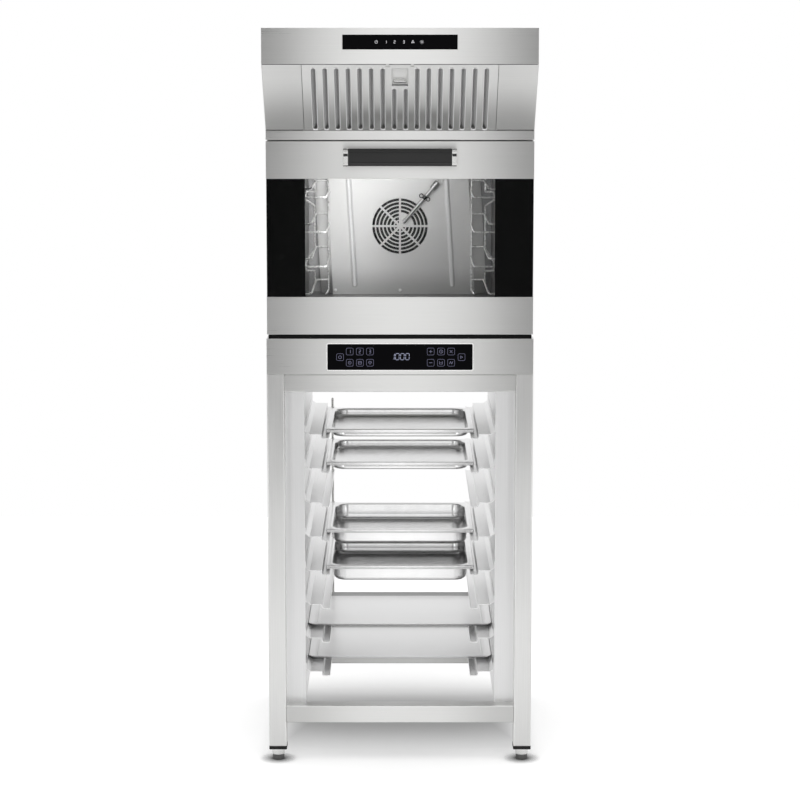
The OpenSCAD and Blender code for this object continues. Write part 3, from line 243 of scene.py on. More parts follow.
mesh = bpy.data.meshes.new("floor")
r = FLOOR_REACH
mesh.from_pydata([(-r, -r, 0), (r, -r, 0), (r, r, 0), (-r, r, 0)], [], [(0, 1, 2, 3)])
floor = bpy.data.objects.new("floor", mesh)
scene.collection.objects.link(floor)
tree, surface = new_material("pale_floor")
path = node_in(tree, "ShaderNodeLightPath").outputs
x, y, _ = coords_in(tree)
across = math_in(tree, "ABSOLUTE", x)
along = math_in(tree, "ABSOLUTE", math_in(tree, "SUBTRACT", y, PAINTED_SHADOW_Y))
mirrored = blend_in(tree, smooth_in(tree, across, *MIRROR_EDGE), MIRRORED_MIDDLE,
                    MIRRORED_SIDE)
# The painted shadow: a soft patch, 0 under the stand and 1 clear of it.
clear = math_in(tree, "MAXIMUM", smooth_in(tree, across, *PAINTED_SHADOW_EDGE_X),
                smooth_in(tree, along, *PAINTED_SHADOW_EDGE_Y))
wide, near = [
    node_in(tree, "ShaderNodeAmbientOcclusion", {"Distance": reach}, samples=8).outputs["AO"]
    for reach in (SHADOW_REACH, FOOT_SHADOW_REACH)]
open_floor = math_in(tree, "MULTIPLY", blend_in(tree, clear, PAINTED_SHADOW_TONE, 1.0),
                     math_in(tree, "POWER", near, FOOT_SHADOW_POWER))
seen = math_in(tree, "MULTIPLY", path["Is Camera Ray"],
               math_in(tree, "MULTIPLY", open_floor, FLOOR_GLOW))
seen = math_in(tree, "ADD", seen, math_in(tree, "MULTIPLY", path["Is Glossy Ray"], mirrored))
glow = math_in(tree, "MULTIPLY", seen, blend_in(tree, wide, SHADOW_TONE, 1.0))
feed(tree, surface, {
    "Roughness": 0.9, "Specular IOR Level": 0.0, "Emission Color": (1, 1, 1, 1),
    "Emission Strength": glow, "Base Color": tinted(tree, (FLOOR_COLOUR,) * 3, open_floor)})
mesh.materials.append(FINISH["pale_floor"])

# %% [markdown]
# Most of this object is stainless steel, and the eye reads steel by its grain. A shared
# node group stretches noise along the brushing direction, and a second one rounds the
# sharp edges of folded sheet, so each edge catches a thin line of light. On steel that
# line is also painted a little lighter in the colour, a painted highlight.

# %% Shader groups
EDGE_STARTS, EDGE_FULL = 0.995, 0.80


def new_group(name, inputs, outputs):
    """A node group, with the sockets it is given, and its output node."""
    group = bpy.data.node_groups.new(name, "ShaderNodeTree")
    for label, kind, value in inputs:
        socket = group.interface.new_socket(label, in_out="INPUT", socket_type=kind)
        socket.default_value = value
    for label, kind in outputs:
        group.interface.new_socket(label, in_out="OUTPUT", socket_type=kind)
    return group, node_in(group, "NodeGroupInput").outputs, node_in(group, "NodeGroupOutput")


# Brushing lines: noise on Object coordinates, stretched by a vector
group, given, out = new_group(
    "brushed_grain",
    [("Stretch", "NodeSocketVector", (1, 1, 1)), ("Scale", "NodeSocketFloat", 1.0)],
    [("Lines", "NodeSocketFloat"), ("Clouds", "NodeSocketFloat")])
place = node_in(group, "ShaderNodeTexCoord").outputs["Object"]
stretched = node_in(group, "ShaderNodeVectorMath", {0: place, 1: given["Stretch"]},
                    operation="MULTIPLY")
lines = node_in(group, "ShaderNodeTexNoise",
                {"Vector": stretched, "Scale": given["Scale"], "Detail": 3})
clouds = node_in(group, "ShaderNodeTexNoise", {"Vector": place, "Scale": 7, "Detail": 2})
feed(group, out, {"Lines": lines, "Clouds": clouds})
grain_group = group

# Rounded edges: the bevelled normal, and a mask that is 1 on an edge
group, given, out = new_group(
    "soft_edges", [("Radius", "NodeSocketFloat", 0.001)],
    [("Normal", "NodeSocketVector"), ("Edge", "NodeSocketFloat")])
bevel = node_in(group, "ShaderNodeBevel", {"Radius": given["Radius"]}, samples=4)
flat = node_in(group, "ShaderNodeNewGeometry").outputs["Normal"]
dot = node_in(group, "ShaderNodeVectorMath", {0: bevel, 1: flat}, operation="DOT_PRODUCT")
edge = node_in(group, "ShaderNodeMapRange", {
    "Value": dot.outputs["Value"], "From Min": EDGE_STARTS, "From Max": EDGE_FULL})
feed(group, out, {"Normal": bevel, "Edge": edge})
edge_group = group

# %% Material makers
STRETCH = {"x": (6, 900, 900), "z": (900, 900, 6), "y": (900, 6, 900)}
# The last is how much lighter steel edges are painted, a painted highlight.
STEEL_EDGE, PLAIN_EDGE, PAINTED_EDGE_HIGHLIGHT = 0.0012, 0.0008, 0.10


def group_in(tree, group, **values):
    """Adds a shared group, and returns its outputs."""
    return node_in(tree, "ShaderNodeGroup", values, node_tree=group).outputs


def bump_in(tree, surface, height, strength, distance, normal=None):
    """Raises a surface by a mask, on top of the bevelled normal if it is given one."""
    inputs = {"Strength": strength, "Distance": distance, "Height": height}
    if normal is not None:
        inputs["Normal"] = normal
    feed(tree, surface, {"Normal": node_in(tree, "ShaderNodeBump", inputs)})


def steel(name, dressed, colour, roughness, brushed, contrast=0.08, anisotropy=0.55, metallic=1.0,
          painted_shade=None, dull=None):
    """Brushed stainless steel, with its highlight spread across the brushing lines. A painted
    shade is (axis, dark end, clear end, tone at the dark end), and paints the metal darker
    towards one end. A dull is (start, end, metallic at the end), and makes the metal
    duller away from the middle plane."""
    tree, surface = new_material(name, dressed)
    grain = group_in(tree, grain_group, Stretch=STRETCH[brushed], Scale=1.0)
    edges = group_in(tree, edge_group, Radius=STEEL_EDGE)
    # Each rounded edge is painted lighter in the colour, a painted highlight.
    tone = math_in(tree, "ADD", blend_in(tree, grain["Lines"], 1 - contrast, 1 + contrast),
                   math_in(tree, "MULTIPLY", edges["Edge"], PAINTED_EDGE_HIGHLIGHT))
    # Painted shade: the tone darkens towards the dark end along one axis.
    if painted_shade:
        axis, dark_end, clear_end, dark_tone = painted_shade
        clear = smooth_in(tree, coords_in(tree)[axis], dark_end, clear_end)
        tone = math_in(tree, "MULTIPLY", tone, blend_in(tree, clear, dark_tone, 1.0))
    rough = math_in(tree, "ADD",
                    blend_in(tree, grain["Lines"], roughness - 0.05, roughness + 0.05),
                    blend_in(tree, grain["Clouds"], -0.03, 0.03))
    tangent = node_in(tree, "ShaderNodeCombineXYZ", {"X" if brushed == "z" else "Z": 1.0})
    feed(tree, surface, {
        "Base Color": tinted(tree, colour, tone), "Metallic": metallic, "Roughness": rough,
        "Anisotropic": anisotropy, "Tangent": tangent})
    if dull:
        start, end, dull_metallic = dull
        away = smooth_in(tree, math_in(tree, "ABSOLUTE", coords_in(tree)["X"]), start, end)
        feed(tree, surface, {"Metallic": blend_in(tree, away, metallic, dull_metallic)})
    bump_in(tree, surface, grain["Lines"], 0.12, 0.0001, edges["Normal"])


def plain(name, dressed, colour, roughness, metallic=0.0, bumps=200, depth=0.02, shine=0.5):
    """Moulded or cast surface: a fine even texture and soft edges."""
    tree, surface = new_material(name, dressed)
    grain = group_in(tree, grain_group, Stretch=(1, 1, 1), Scale=bumps)
    edges = group_in(tree, edge_group, Radius=PLAIN_EDGE)
    feed(tree, surface, {
        "Base Color": tinted(tree, colour, blend_in(tree, grain["Clouds"], 0.92, 1.08)),
        "Roughness": blend_in(tree, grain["Lines"], roughness - 0.06, roughness + 0.06),
        "Metallic": metallic, "Specular IOR Level": shine})
    bump_in(tree, surface, grain["Lines"], depth, 0.0003, edges["Normal"])


def mesh_grey(name, dressed, strands=420.0):
    """Expanded aluminium: a fine woven pattern of light strands and dark gaps."""
    tree, surface = new_material(name, dressed)
    x, _, z = coords_in(tree)
    weave = math_in(tree, "MAXIMUM", *[
        math_in(tree, "PINGPONG", math_in(
            tree, "MULTIPLY", math_in(tree, "ADD", x, math_in(tree, "MULTIPLY", z, lean)),
            strands), 1.0) for lean in (1.0, -1.0)])
    feed(tree, surface, {
        "Base Color": tinted(tree, (0.74, 0.74, 0.74), blend_in(tree, weave, 0.50, 1.0)),
        "Roughness": blend_in(tree, weave, 0.7, 0.45), "Metallic": 0.1})
    bump_in(tree, surface, weave, 0.5, 0.0004)


def foot_finish(name, dressed, pad_top=0.0115):
    """A levelling foot: plated steel above, and a dark moulded pad on the floor."""
    tree, surface = new_material(name, dressed)
    plated = math_in(tree, "GREATER_THAN", coords_in(tree)["Z"], pad_top)
    grain = group_in(tree, grain_group, Stretch=(1, 1, 1), Scale=300.0)
    edges = group_in(tree, edge_group, Radius=PLAIN_EDGE)
    tone = math_in(tree, "MULTIPLY", blend_in(tree, plated, 0.10, 0.90),
                   blend_in(tree, grain["Clouds"], 0.93, 1.07))
    feed(tree, surface, {
        "Base Color": tinted(tree, (1.0, 1.0, 0.99), tone), "Metallic": plated,
        "Roughness": blend_in(tree, plated, 0.5, 0.22), "Normal": edges["Normal"]})


def lit_mark(name, colour):
    """A printed sign with light behind it."""
    tree, surface = new_material(name)
    feed(tree, surface, {"Base Color": (0.02, 0.02, 0.02, 1), "Roughness": 0.5,
                         "Emission Color": (*colour, 1), "Emission Strength": 1.0})


def clear_pane(name, dressed, film=0.015):
    """A thin pane: it lets most light through, and turns mirror-like at a low angle."""
    tree, surface = new_material(name, dressed)
    fresnel = node_in(tree, "ShaderNodeFresnel", {"IOR": 1.5})
    feed(tree, surface, {"Base Color": (0.008, 0.010, 0.010, 1), "Roughness": 0.03,
                         "Alpha": blend_in(tree, fresnel, film, 1.0)})


# %% Finishes
# Painted shade on steel, as (axis, dark end, clear end, tone): the legs darker at the top, the
# hood's slope and the fan cover darker at the bottom, the trays' back rims darker.
LEG_PAINTED_SHADE = ("Z", 0.880, 0.560, 0.74)
SLOPE_PAINTED_SHADE = ("Z", 1.455, 1.580, 0.50)
COVER_PAINTED_SHADE = ("Z", 1.050, 1.120, 0.66)
COVER_DULL = (0.172, 0.176, 0.05)
TRAY_PAINTED_SHADE = ("Y", DOOR_Y + 0.4515, DOOR_Y + 0.4495, 0.50)

steel("door_steel",
      "door_upper_panel door_lower_panel control_fascia oven_shell oven_back_panel oven_base "
      "cavity_face_frame stand_top_rails stand_bottom_rails door_inner_frame",
      (0.71, 0.71, 0.70), 0.30, "x", 0.045, 0.75)
steel("hood_steel", "hood_casing hood_fascia hood_lower_trim",
      (0.74, 0.74, 0.73), 0.30, "x", 0.045, 0.75)
steel("leg_steel", "stand_legs", (0.82, 0.82, 0.81), 0.34, "z", anisotropy=0.4, painted_shade=LEG_PAINTED_SHADE)
steel("rack_steel", "tray_runners", (0.95, 0.95, 0.95), 0.30, "y", 0.03, 0.0, 0.85)
steel("panel_steel", "rack_panels", (0.85, 0.85, 0.85), 0.36, "z", 0.05, 0.0)
steel("slope_steel", "hood_infill_panels", (0.80, 0.80, 0.79), 0.36, "x", 0.05, painted_shade=SLOPE_PAINTED_SHADE)
steel("filter_steel", "hood_filter_frame hood_filter_latch",
      (0.86, 0.86, 0.85), 0.46, "z", 0.05, painted_shade=SLOPE_PAINTED_SHADE)
# The cavity's steel is drawn far darker than the door's, a painted shade for the inside of the
# oven.
steel("cavity_steel", "cavity_liner", (0.34, 0.34, 0.34), 0.40, "x", 0.04, 0.0)
steel("deflector_steel", "fan_deflector",
      (0.88, 0.88, 0.87), 0.48, "z", 0.03, 0.0, 0.6, COVER_PAINTED_SHADE, COVER_DULL)
steel("tray_metal", "baking_tray_upper baking_tray_lower",
      (0.95, 0.95, 0.95), 0.34, "x", 0.03, 0.0, 0.75, TRAY_PAINTED_SHADE)
plain("pan_steel", "shallow_pan_upper shallow_pan_lower deep_pan_upper deep_pan_lower",
      (0.84, 0.84, 0.84), 0.22, 1.0, 40, 0.01)
plain("bright_metal", "control_bezel", (0.86, 0.86, 0.85), 0.10, 1.0)
plain("end_metal", "handle_ends", (0.62, 0.62, 0.61), 0.20, 1.0)
# The next two are whiter, duller copies of the steel beside them, painted highlights: the first
# on the slot rims, their folds, the latch recess's wall and the fan cover's screws; the second on
# the cover's rib crowns.
plain("rim_metal", "deflector_screws", (0.95, 0.95, 0.95), 0.30, 0.5)
plain("painted_rib_highlight", "", (0.97, 0.97, 0.97), 0.40, 0.3)
plain("wire_metal", "side_rack_left side_rack_right", (0.96, 0.96, 0.95), 0.28, 0.4)
plain("pipe_metal", "water_pipe", (0.56, 0.56, 0.56), 0.32, 0.8)
plain("nickel", "rear_stop_rod hinge_brackets", (0.82, 0.82, 0.80), 0.25, 1.0, depth=0.03)
plain("dark_metal", "fan_motor fan_impeller ring_heater hood_blower_housing pipe_clip",
      (0.07, 0.07, 0.07), 0.42, 0.9, depth=0.1)
# This plastic is the grip's, and also draws the painted reflections on the handle's ends.
plain("grip_plastic_and_painted_reflection", "handle_grip",
      (0.022, 0.022, 0.022), 0.45, bumps=900, depth=0.25, shine=0.35)
plain("black_plastic", "leg_end_plugs water_valve cable_gland hood_blower_wheel",
      (0.015, 0.015, 0.015), 0.5, bumps=500, depth=0.2, shine=0.2)
# This rubber is the door's gasket, and also the painted seam shade on the hood.
plain("gasket_rubber_and_seam_shade", "door_gasket", (0.03, 0.03, 0.03), 0.6, bumps=600, depth=0.15, shine=0.3)
plain("black_glass", "control_glass hood_control_glass",
      (0.0014, 0.0014, 0.0019), 0.10, bumps=40, depth=0.0, shine=0.03)
# This black is the door's printed frit, and also the painted shade behind the gap under the door.
plain("black_enamel_and_gap_shade", "door_frit_bands",
      (0.0065, 0.0065, 0.0065), 0.25, bumps=60, depth=0.0, shine=0.05)
plain("wool", "insulation", (0.62, 0.56, 0.38), 0.95, bumps=120, depth=1.0)
plain("board_green", "control_board", (0.03, 0.14, 0.07), 0.45, depth=0.1)
mesh_grey("mesh_metal", "hood_filter_mesh")
foot_finish("foot_metal", "foot_front_left foot_front_right foot_rear_left foot_rear_right")
clear_pane("window_glass", "door_outer_glass door_inner_glass cavity_lamp")
lit_mark("mark_dim", (0.15, 0.15, 0.24))
lit_mark("mark_bright", (0.42, 0.45, 0.62))
lit_mark("mark_white", (0.75, 0.75, 0.78))

# %% [markdown]
# Everything from here on is a finer version of a piece that the construction holds, or a
# small thing that it leaves out. Points are written in millimetres with Y counted back
# from the door's face, as a drawing would give them, and one helper turns them into the
# scene's metres.

# %% Drawing units


def at_mm(x, y, z):
    return Vector((x * MM, DOOR_Y + y * MM, z * MM))


def add_piece(name, mesh, finish, body, replaces=None, smooth=0):
    """Links a finished mesh, gives it its finish, and lets it ride on its body."""
    mesh.name = name
    mesh.materials.clear()
    mesh.materials.append(FINISH[finish])
    if smooth:
        mesh.shade_smooth()
        mesh.set_sharp_from_angle(angle=math.radians(smooth))
    piece = bpy.data.objects.new(name, mesh)
    scene.collection.objects.link(piece)
    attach(piece, body)
    if replaces:
        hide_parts(replaces)
    print(name, len(mesh.polygons), "faces")


# %% [markdown]
# ## Pans and trays
# A steel pan is drawn in one stroke from flat sheet, so every line of it runs into the
# next in a soft curve. A loft is the natural tool: rounded rectangles, one inside the
# other, each at its height, skinned into one closed shell. The same loft with straight
# cut corners makes the folded baking trays.

# %% Loft of rounded rectangles
def arc(centre, radius, start, end, steps):
    """Points of an arc in a section, angles in degrees."""
    out = []
    for step in range(steps + 1):
        angle = math.radians(start + (end - start) * step / steps)
        out.append((centre[0] + radius * math.cos(angle), centre[1] + radius * math.sin(angle)))
    return out


def rounded_ring(half_x, half_y, radius, steps):
    """Corner arcs of a rounded rectangle, counter-clockwise."""
    ring = []
    for quarter, (sx, sy) in enumerate(((1, 1), (-1, 1), (-1, -1), (1, -1))):
        corner = (sx * (half_x - radius), sy * (half_y - radius))
        ring += arc(corner, radius, 90 * quarter, 90 * (quarter + 1), steps)
    return ring


def bmesh_to_mesh(work):
    """Turns all faces outwards, and makes the finished mesh."""
    bmesh.ops.recalc_face_normals(work, faces=work.faces)
    mesh = bpy.data.meshes.new("work")
    work.to_mesh(mesh)
    work.free()
    return mesh


def loft_mesh(rings):
    """Skins rings of equal length, and closes the first and the last."""
    count = len(rings[0])
    work = bmesh.new()
    loops = [[work.verts.new(point) for point in ring] for ring in rings]
    for near, far in zip(loops, loops[1:]):
        for i in range(count):
            j = (i + 1) % count
            work.faces.new((near[i], near[j], far[j], far[i]))
    work.faces.new(loops[0][::-1])
    work.faces.new(loops[-1])
    return bmesh_to_mesh(work)


def add_loft(node, section, size, front, base, steps, finish, suffix, smooth):
    """A pan or a tray. Its section's rows are the inset, height and corner of each ring."""
    half_x, half_y = size[0] / 2, size[1] / 2
    rings = [[at_mm(x, front + half_y + y, base + z)
              for x, y in rounded_ring(half_x - inset, half_y - inset, corner, steps)]
             for inset, z, corner in section]
    mesh = loft_mesh(rings)
    add_piece(node + suffix, mesh, finish, node, node, smooth=smooth)


# %% Gastronorm pans
PAN_SIZE, PAN_SHEET, PAN_CORNER = (345.0, 325.0), 1.0, 36.0
PAN_RIM_H, PAN_RIM_W, RIM_CORNER = 8.0, 11.5, 4.0
PAN_DRAFT, PAN_BOWL, PAN_FLOOR = 0.1, 0.35, 14
LEDGE_TOP, LEDGE_PITCH, GROOVE_LIP = 762.0, 80.0, 8.0
SEAT_GAP = 0.3


def pan_section(height):
    """Inset, height and corner of each ring, from the floor's outside round to its inside."""
    bowl = PAN_BOWL * height
    top, low = PAN_RIM_H, PAN_RIM_H - height
    under = top - PAN_SHEET
    turn = PAN_RIM_W + PAN_DRAFT * height + bowl
    outer = [(turn + PAN_FLOOR, low), *reversed(arc((turn, low + bowl), bowl, 180, 270, 7)),
             (PAN_RIM_W + 2.0, under - 2.2), (PAN_RIM_W + 0.6, under - 0.6),
             (PAN_RIM_W - 1.0, under)]
    lip = [(PAN_SHEET, under), (PAN_SHEET, 0.4), (0.6, 0), (0, 0.5), (0, top - 2.2),
           (0.3, top - 1.1), (1.1, top - 0.3), (2.2, top)]
    inner = [(PAN_RIM_W - 0.6, top), (PAN_RIM_W + 1.2, top - 0.5), (PAN_RIM_W + 2.2, top - 1.6),
             (PAN_RIM_W + 2.9, top - 3.4),
             *arc((turn + PAN_SHEET, low + bowl + PAN_SHEET), bowl, 180, 270, 7),
             (turn + PAN_FLOOR, low + PAN_SHEET)]
    bowl_corner = PAN_CORNER + PAN_RIM_W
    return [(inset, z, max(corner - inset, least))
            for rows, corner, least in ((outer, bowl_corner, 10.0), (lip, RIM_CORNER, 1.2),
                                        (inner, bowl_corner, 10.0))
            for inset, z in rows]


for node, height, level, front in (
        ("shallow_pan_upper", 20, 0, 108), ("shallow_pan_lower", 20, 1, 122),
        ("deep_pan_upper", 40, 3, 122), ("deep_pan_lower", 40, 4, 90)):
    foot = LEDGE_TOP - LEDGE_PITCH * level - GROOVE_LIP + SEAT_GAP
    add_loft(node, pan_section(height), PAN_SIZE, front, foot, 12, "pan_steel", "_drawn", 40)

# %% Baking trays
TRAY_SIZE, TRAY_SHEET, TRAY_RIM, TRAY_RUN = (433.0, 320.0), 1.2, 9.0, 11.0
TRAY_CUT, TRAY_LEAST_CUT = 15.0, 6.0
TRAY_SECTION = [
    (TRAY_RUN + 8, 0), (TRAY_RUN + 1.5, 0), (TRAY_RUN, 0.3), (1.6, TRAY_RIM - 2.4),
    (0, TRAY_RIM - 1.4), (0, TRAY_RIM - 0.4), (0.4, TRAY_RIM), (1.2, TRAY_RIM),
    (TRAY_RUN + 0.2, 1.9), (TRAY_RUN + 1.8, TRAY_SHEET), (TRAY_RUN + 8, TRAY_SHEET),
    (TRAY_RUN + 9, TRAY_SHEET + 0.7), (TRAY_RUN + 11, TRAY_SHEET + 0.7),
    (TRAY_RUN + 12, TRAY_SHEET)]

for node, level, front in (("baking_tray_upper", 6, 142), ("baking_tray_lower", 7, 146)):
    section = [(inset, z, max(TRAY_CUT - 0.35 * inset, TRAY_LEAST_CUT))
               for inset, z in TRAY_SECTION]
    add_loft(node, section, TRAY_SIZE, front, LEDGE_TOP - LEDGE_PITCH * level + SEAT_GAP, 3,
             "tray_metal", "_folded", 30)

# %% [markdown]
# ## Geometry Nodes for what repeats
# The wire racks, the key outlines, the slots' rims and the screws are all one small shape
# carried along a path or set on many points. Each gets a node tree with named sizes. The
# object's own mesh holds only the path or the points, and the evaluated result is turned
# into a plain mesh before it rides on anything.

# %% Geometry node helpers
def new_tree(name, **sizes):
    """A tree with named sizes and a finish, the sockets it is given, and its output node."""
    tree = bpy.data.node_groups.new(name, "GeometryNodeTree")
    for way in ("INPUT", "OUTPUT"):
        tree.interface.new_socket("Geometry", in_out=way, socket_type="NodeSocketGeometry")
    for label, value in sizes.items():
        kind = "NodeSocketInt" if isinstance(value, int) else "NodeSocketFloat"
        socket = tree.interface.new_socket(label, in_out="INPUT", socket_type=kind)
        socket.default_value = value
    tree.interface.new_socket("finish", in_out="INPUT", socket_type="NodeSocketMaterial")
    return tree, node_in(tree, "NodeGroupInput").outputs, node_in(tree, "NodeGroupOutput")


def close_tree(tree, given, out, geometry):
    """Every tree ends by realising its instances and setting its material."""
    real = node_in(tree, "GeometryNodeRealizeInstances", {0: geometry})
    paint = node_in(tree, "GeometryNodeSetMaterial",
                    {"Geometry": real, "Material": given["finish"]})
    feed(tree, out, {0: paint})
    return tree


def fillet_in(tree, curve, radius, count, limit=False):
    """Rounds the corners of a curve with a number of straight steps."""
    bend = node_in(tree, "GeometryNodeFilletCurve")
    if "Mode" in bend.inputs:
        bend.inputs["Mode"].default_value = "Poly"
    else:
        bend.mode = "POLY"
    feed(tree, bend, {"Curve": curve, "Radius": radius, "Count": count, "Limit Radius": limit})
    return bend


def grow(tree, points, edges, finish, **sizes):
    """Runs a tree over points and edges, and returns the resulting plain mesh."""
    seed = bpy.data.meshes.new("seed")
    seed.from_pydata(points, edges, [])
    carrier = bpy.data.objects.new("carrier", seed)
    scene.collection.objects.link(carrier)
    modifier = carrier.modifiers.new("grow", "NODES")
    modifier.node_group = tree
    values = dict(sizes, finish=FINISH[finish])
    for item in tree.interface.items_tree:
        if item.item_type == "SOCKET" and item.in_out == "INPUT" and item.name in values:
            modifier[item.identifier] = values[item.name]
    evaluated = carrier.evaluated_get(bpy.context.evaluated_depsgraph_get())
    mesh = bpy.data.meshes.new_from_object(evaluated)
    carrier.modifiers.remove(modifier)
    bpy.data.objects.remove(carrier)
    return mesh


# %% [markdown]
# The oven's side racks are bent from round wire and welded where they cross. Each wire is
# a chain of straight edges here; the tree rounds its bends, carries a circle along it and
# caps its ends.

# %% Bent wire tree
tree, given, out = new_tree("bent_wire", wire_radius=0.00225, bend_radius=0.006, sides=14)
curve = node_in(tree, "GeometryNodeMeshToCurve", {"Mesh": given["Geometry"]})
bend = fillet_in(tree, curve, given["bend_radius"], 6, limit=True)
circle = node_in(tree, "GeometryNodeCurvePrimitiveCircle",
                 {"Radius": given["wire_radius"], "Resolution": given["sides"]})
skin = node_in(tree, "GeometryNodeCurveToMesh", {
    "Curve": bend, "Profile Curve": circle, "Fill Caps": True})
wire_tree = close_tree(tree, given, out, skin)


def chains(paths):
    """Points and edges of several open paths."""
    points, edges = [], []
    for path in paths:
        first = len(points)
        points += [at_mm(*p) for p in path]
        edges += [(first + i, first + i + 1) for i in range(len(path) - 1)]
    return points, edges


# %% Side racks
CAVITY_FLOOR, CAVITY_ROOF = 1046.0, 1396.0
RACK_X, POST_X, BACK_POST_X = 218.5, 206.0, 173.0
RUNNER_X, PAN_RAIL_X, WALL_X = 203.0, 170.5, 222.8
RACK_BACK, RACK_FRONT, BOW_FRONT = 391.5, 89.5, 130.5
WIRE_R = 2.25
TRAY_RAILS = [1325.0 - 80.0 * k for k in range(4)]
PAN_RAILS = [z - 23.3 for z in TRAY_RAILS[:3]]


def rack_paths(side):
    a, c = PAN_RAILS[0], PAN_RAILS[2]
    bow = [(POST_X, RACK_BACK, CAVITY_ROOF - 8), (POST_X, RACK_BACK, a - 6),
           (RACK_X - 1, BOW_FRONT + 30, a + 9), (RACK_X, BOW_FRONT, a),
           (RACK_X - 0.5, BOW_FRONT + 12, a - 8), (POST_X, RACK_BACK, a - 40),
           (POST_X, RACK_BACK, c + 16), (RACK_X, BOW_FRONT + 10, c + 6),
           (RACK_X, BOW_FRONT, c - 4), (RACK_X - 1, BOW_FRONT + 26, c - 14),
           (POST_X, RACK_BACK, c - 38), (POST_X, RACK_BACK, TRAY_RAILS[3] - 8)]
    back_post = [(BACK_POST_X, RACK_BACK, CAVITY_ROOF - 8),
                 (BACK_POST_X, RACK_BACK, CAVITY_FLOOR + 12),
                 (BACK_POST_X + 7, RACK_BACK - 8, CAVITY_FLOOR + 1.8)]
    paths = [bow, back_post]
    for rail in TRAY_RAILS:
        z = rail - WIRE_R
        paths.append([(WALL_X, RACK_FRONT - 26, z), (RUNNER_X + 6, RACK_FRONT - 20, z),
                      (RUNNER_X, RACK_FRONT, z), (RUNNER_X, RACK_BACK, z),
                      (BACK_POST_X, RACK_BACK, z)])
    for rail, start in zip(PAN_RAILS, (RACK_X, WALL_X, RACK_X)):
        z = rail - WIRE_R
        paths.append([(start, BOW_FRONT, z), (PAN_RAIL_X, BOW_FRONT, z),
                      (PAN_RAIL_X, RACK_BACK, z)])
    return [[(side * x, y, z) for x, y, z in path] for path in paths]


for side, node in ((-1, "side_rack_left"), (1, "side_rack_right")):
    mesh = grow(wire_tree, *chains(rack_paths(side)), "wire_metal", wire_radius=WIRE_R * MM)
    add_piece(node + "_bent", mesh, "wire_metal", "main", node, smooth=50)

# %% [markdown]
# ## The fan cover's ribs and the water pipe
# Two long ribs are pressed into the fan cover, and their crowns, in a whiter and duller
# copy of its steel, carry a painted highlight. The pipe that sprays water into the fan is a
# turned shape: rings of different sizes along one axis, skinned like the pans.

# %% Rib crowns
COVER_Y = (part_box("fan_deflector")[0].y - DOOR_Y) / MM + 2.4
FAN_Z, COVER_LEAN = 1212.0, math.radians(3.4)
RIB_X, RIB_MIDDLE, RIB_HALF, RIB_FOOT = 118.0, 1225.5, 160.3, 4.7
RIB_SECTION = ((RIB_FOOT, -2.3), (4.6, -2.7), (3.6, -3.05), (1.5, -3.2))


def capsule(centre, half_width, low, high, steps=10):
    """The closed outline of an upright slot with round ends."""
    return (arc((centre, high), half_width, 0, 180, steps)
            + arc((centre, low), half_width, 180, 360, steps))


def rib_ring(half_width, x, y):
    """The outline of one rib at one height, leaning as the cover's pressing does."""
    straight = RIB_HALF - RIB_FOOT
    middle_x = x + (FAN_Z - RIB_MIDDLE) * math.tan(COVER_LEAN)
    c, s = math.cos(COVER_LEAN), math.sin(COVER_LEAN)
    return [at_mm(middle_x + u * c - v * s, y, RIB_MIDDLE + u * s + v * c)
            for u, v in capsule(0, half_width, -straight, straight)]


for side, label in ((-1, "left"), (1, "right")):
    rings = [rib_ring(half, side * RIB_X, COVER_Y + y) for half, y in RIB_SECTION]
    add_piece("cover_rib_" + label, loft_mesh(rings), "painted_rib_highlight", "main",
              smooth=60)

# %% Water pipe
PIPE_TIP, PIPE_END = Vector((8.0, 1222.0)), Vector((86.0, 1313.0))
PIPE_Y, PIPE_R, STUB_R = COVER_Y - 12.0, 4.0, 3.0


def turned(start, direction, profile, steps=24):
    """A turned shape: (distance along, radius) pairs about an axis, in millimetres."""
    axis = Vector(direction).normalized()
    side = axis.orthogonal().normalized()
    other = axis.cross(side)
    rings = []
    for along, radius in profile:
        middle = Vector(start) + axis * along
        angles = [2 * math.pi * step / steps for step in range(steps)]
        rings.append([at_mm(*(middle + (side * math.cos(a) + other * math.sin(a)) * radius))
                      for a in angles])
    return loft_mesh(rings)


run = PIPE_END - PIPE_TIP
end = run.length
profile = [(0, 3.6), (0.6, 4.6), (8.4, 5.2), (9.0, 4.6), (9.3, PIPE_R), (end - 14.0, PIPE_R),
           (end - 13.4, 6.0), (end - 12.0, 7.8), (end - 6.0, 7.8), (end - 5.4, 7.0),
           (end - 4.2, 7.0), (end - 3.6, 7.8), (end + 6.6, 7.8), (end + 7.5, 6.8)]
pipe = turned((PIPE_TIP.x, PIPE_Y, PIPE_TIP.y), (run.x, 0, run.y), profile)
add_piece("water_pipe_turned", pipe, "pipe_metal", "main", "water_pipe",
          smooth=40)
depth = (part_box("water_pipe")[1].y - DOOR_Y) / MM - PIPE_Y
stub = turned((PIPE_END.x, PIPE_Y, PIPE_END.y), (0, 1, 0), [(0, STUB_R), (depth, STUB_R)])
add_piece("water_pipe_stub", stub, "pipe_metal", "main", smooth=40)

# %% [markdown]
# ## The hood filter's pressed slots
# Each slot of the filter is pressed out of the sheet, so a rounded rim runs round it, and
# under its lower end the sheet folds into a small V. Both are a thin bead along a path on
# the slope, so the wire tree draws them too, in a whiter, half-matt finish that is a painted
# highlight. A helper places points on the slope: across, up along it, and out from it.

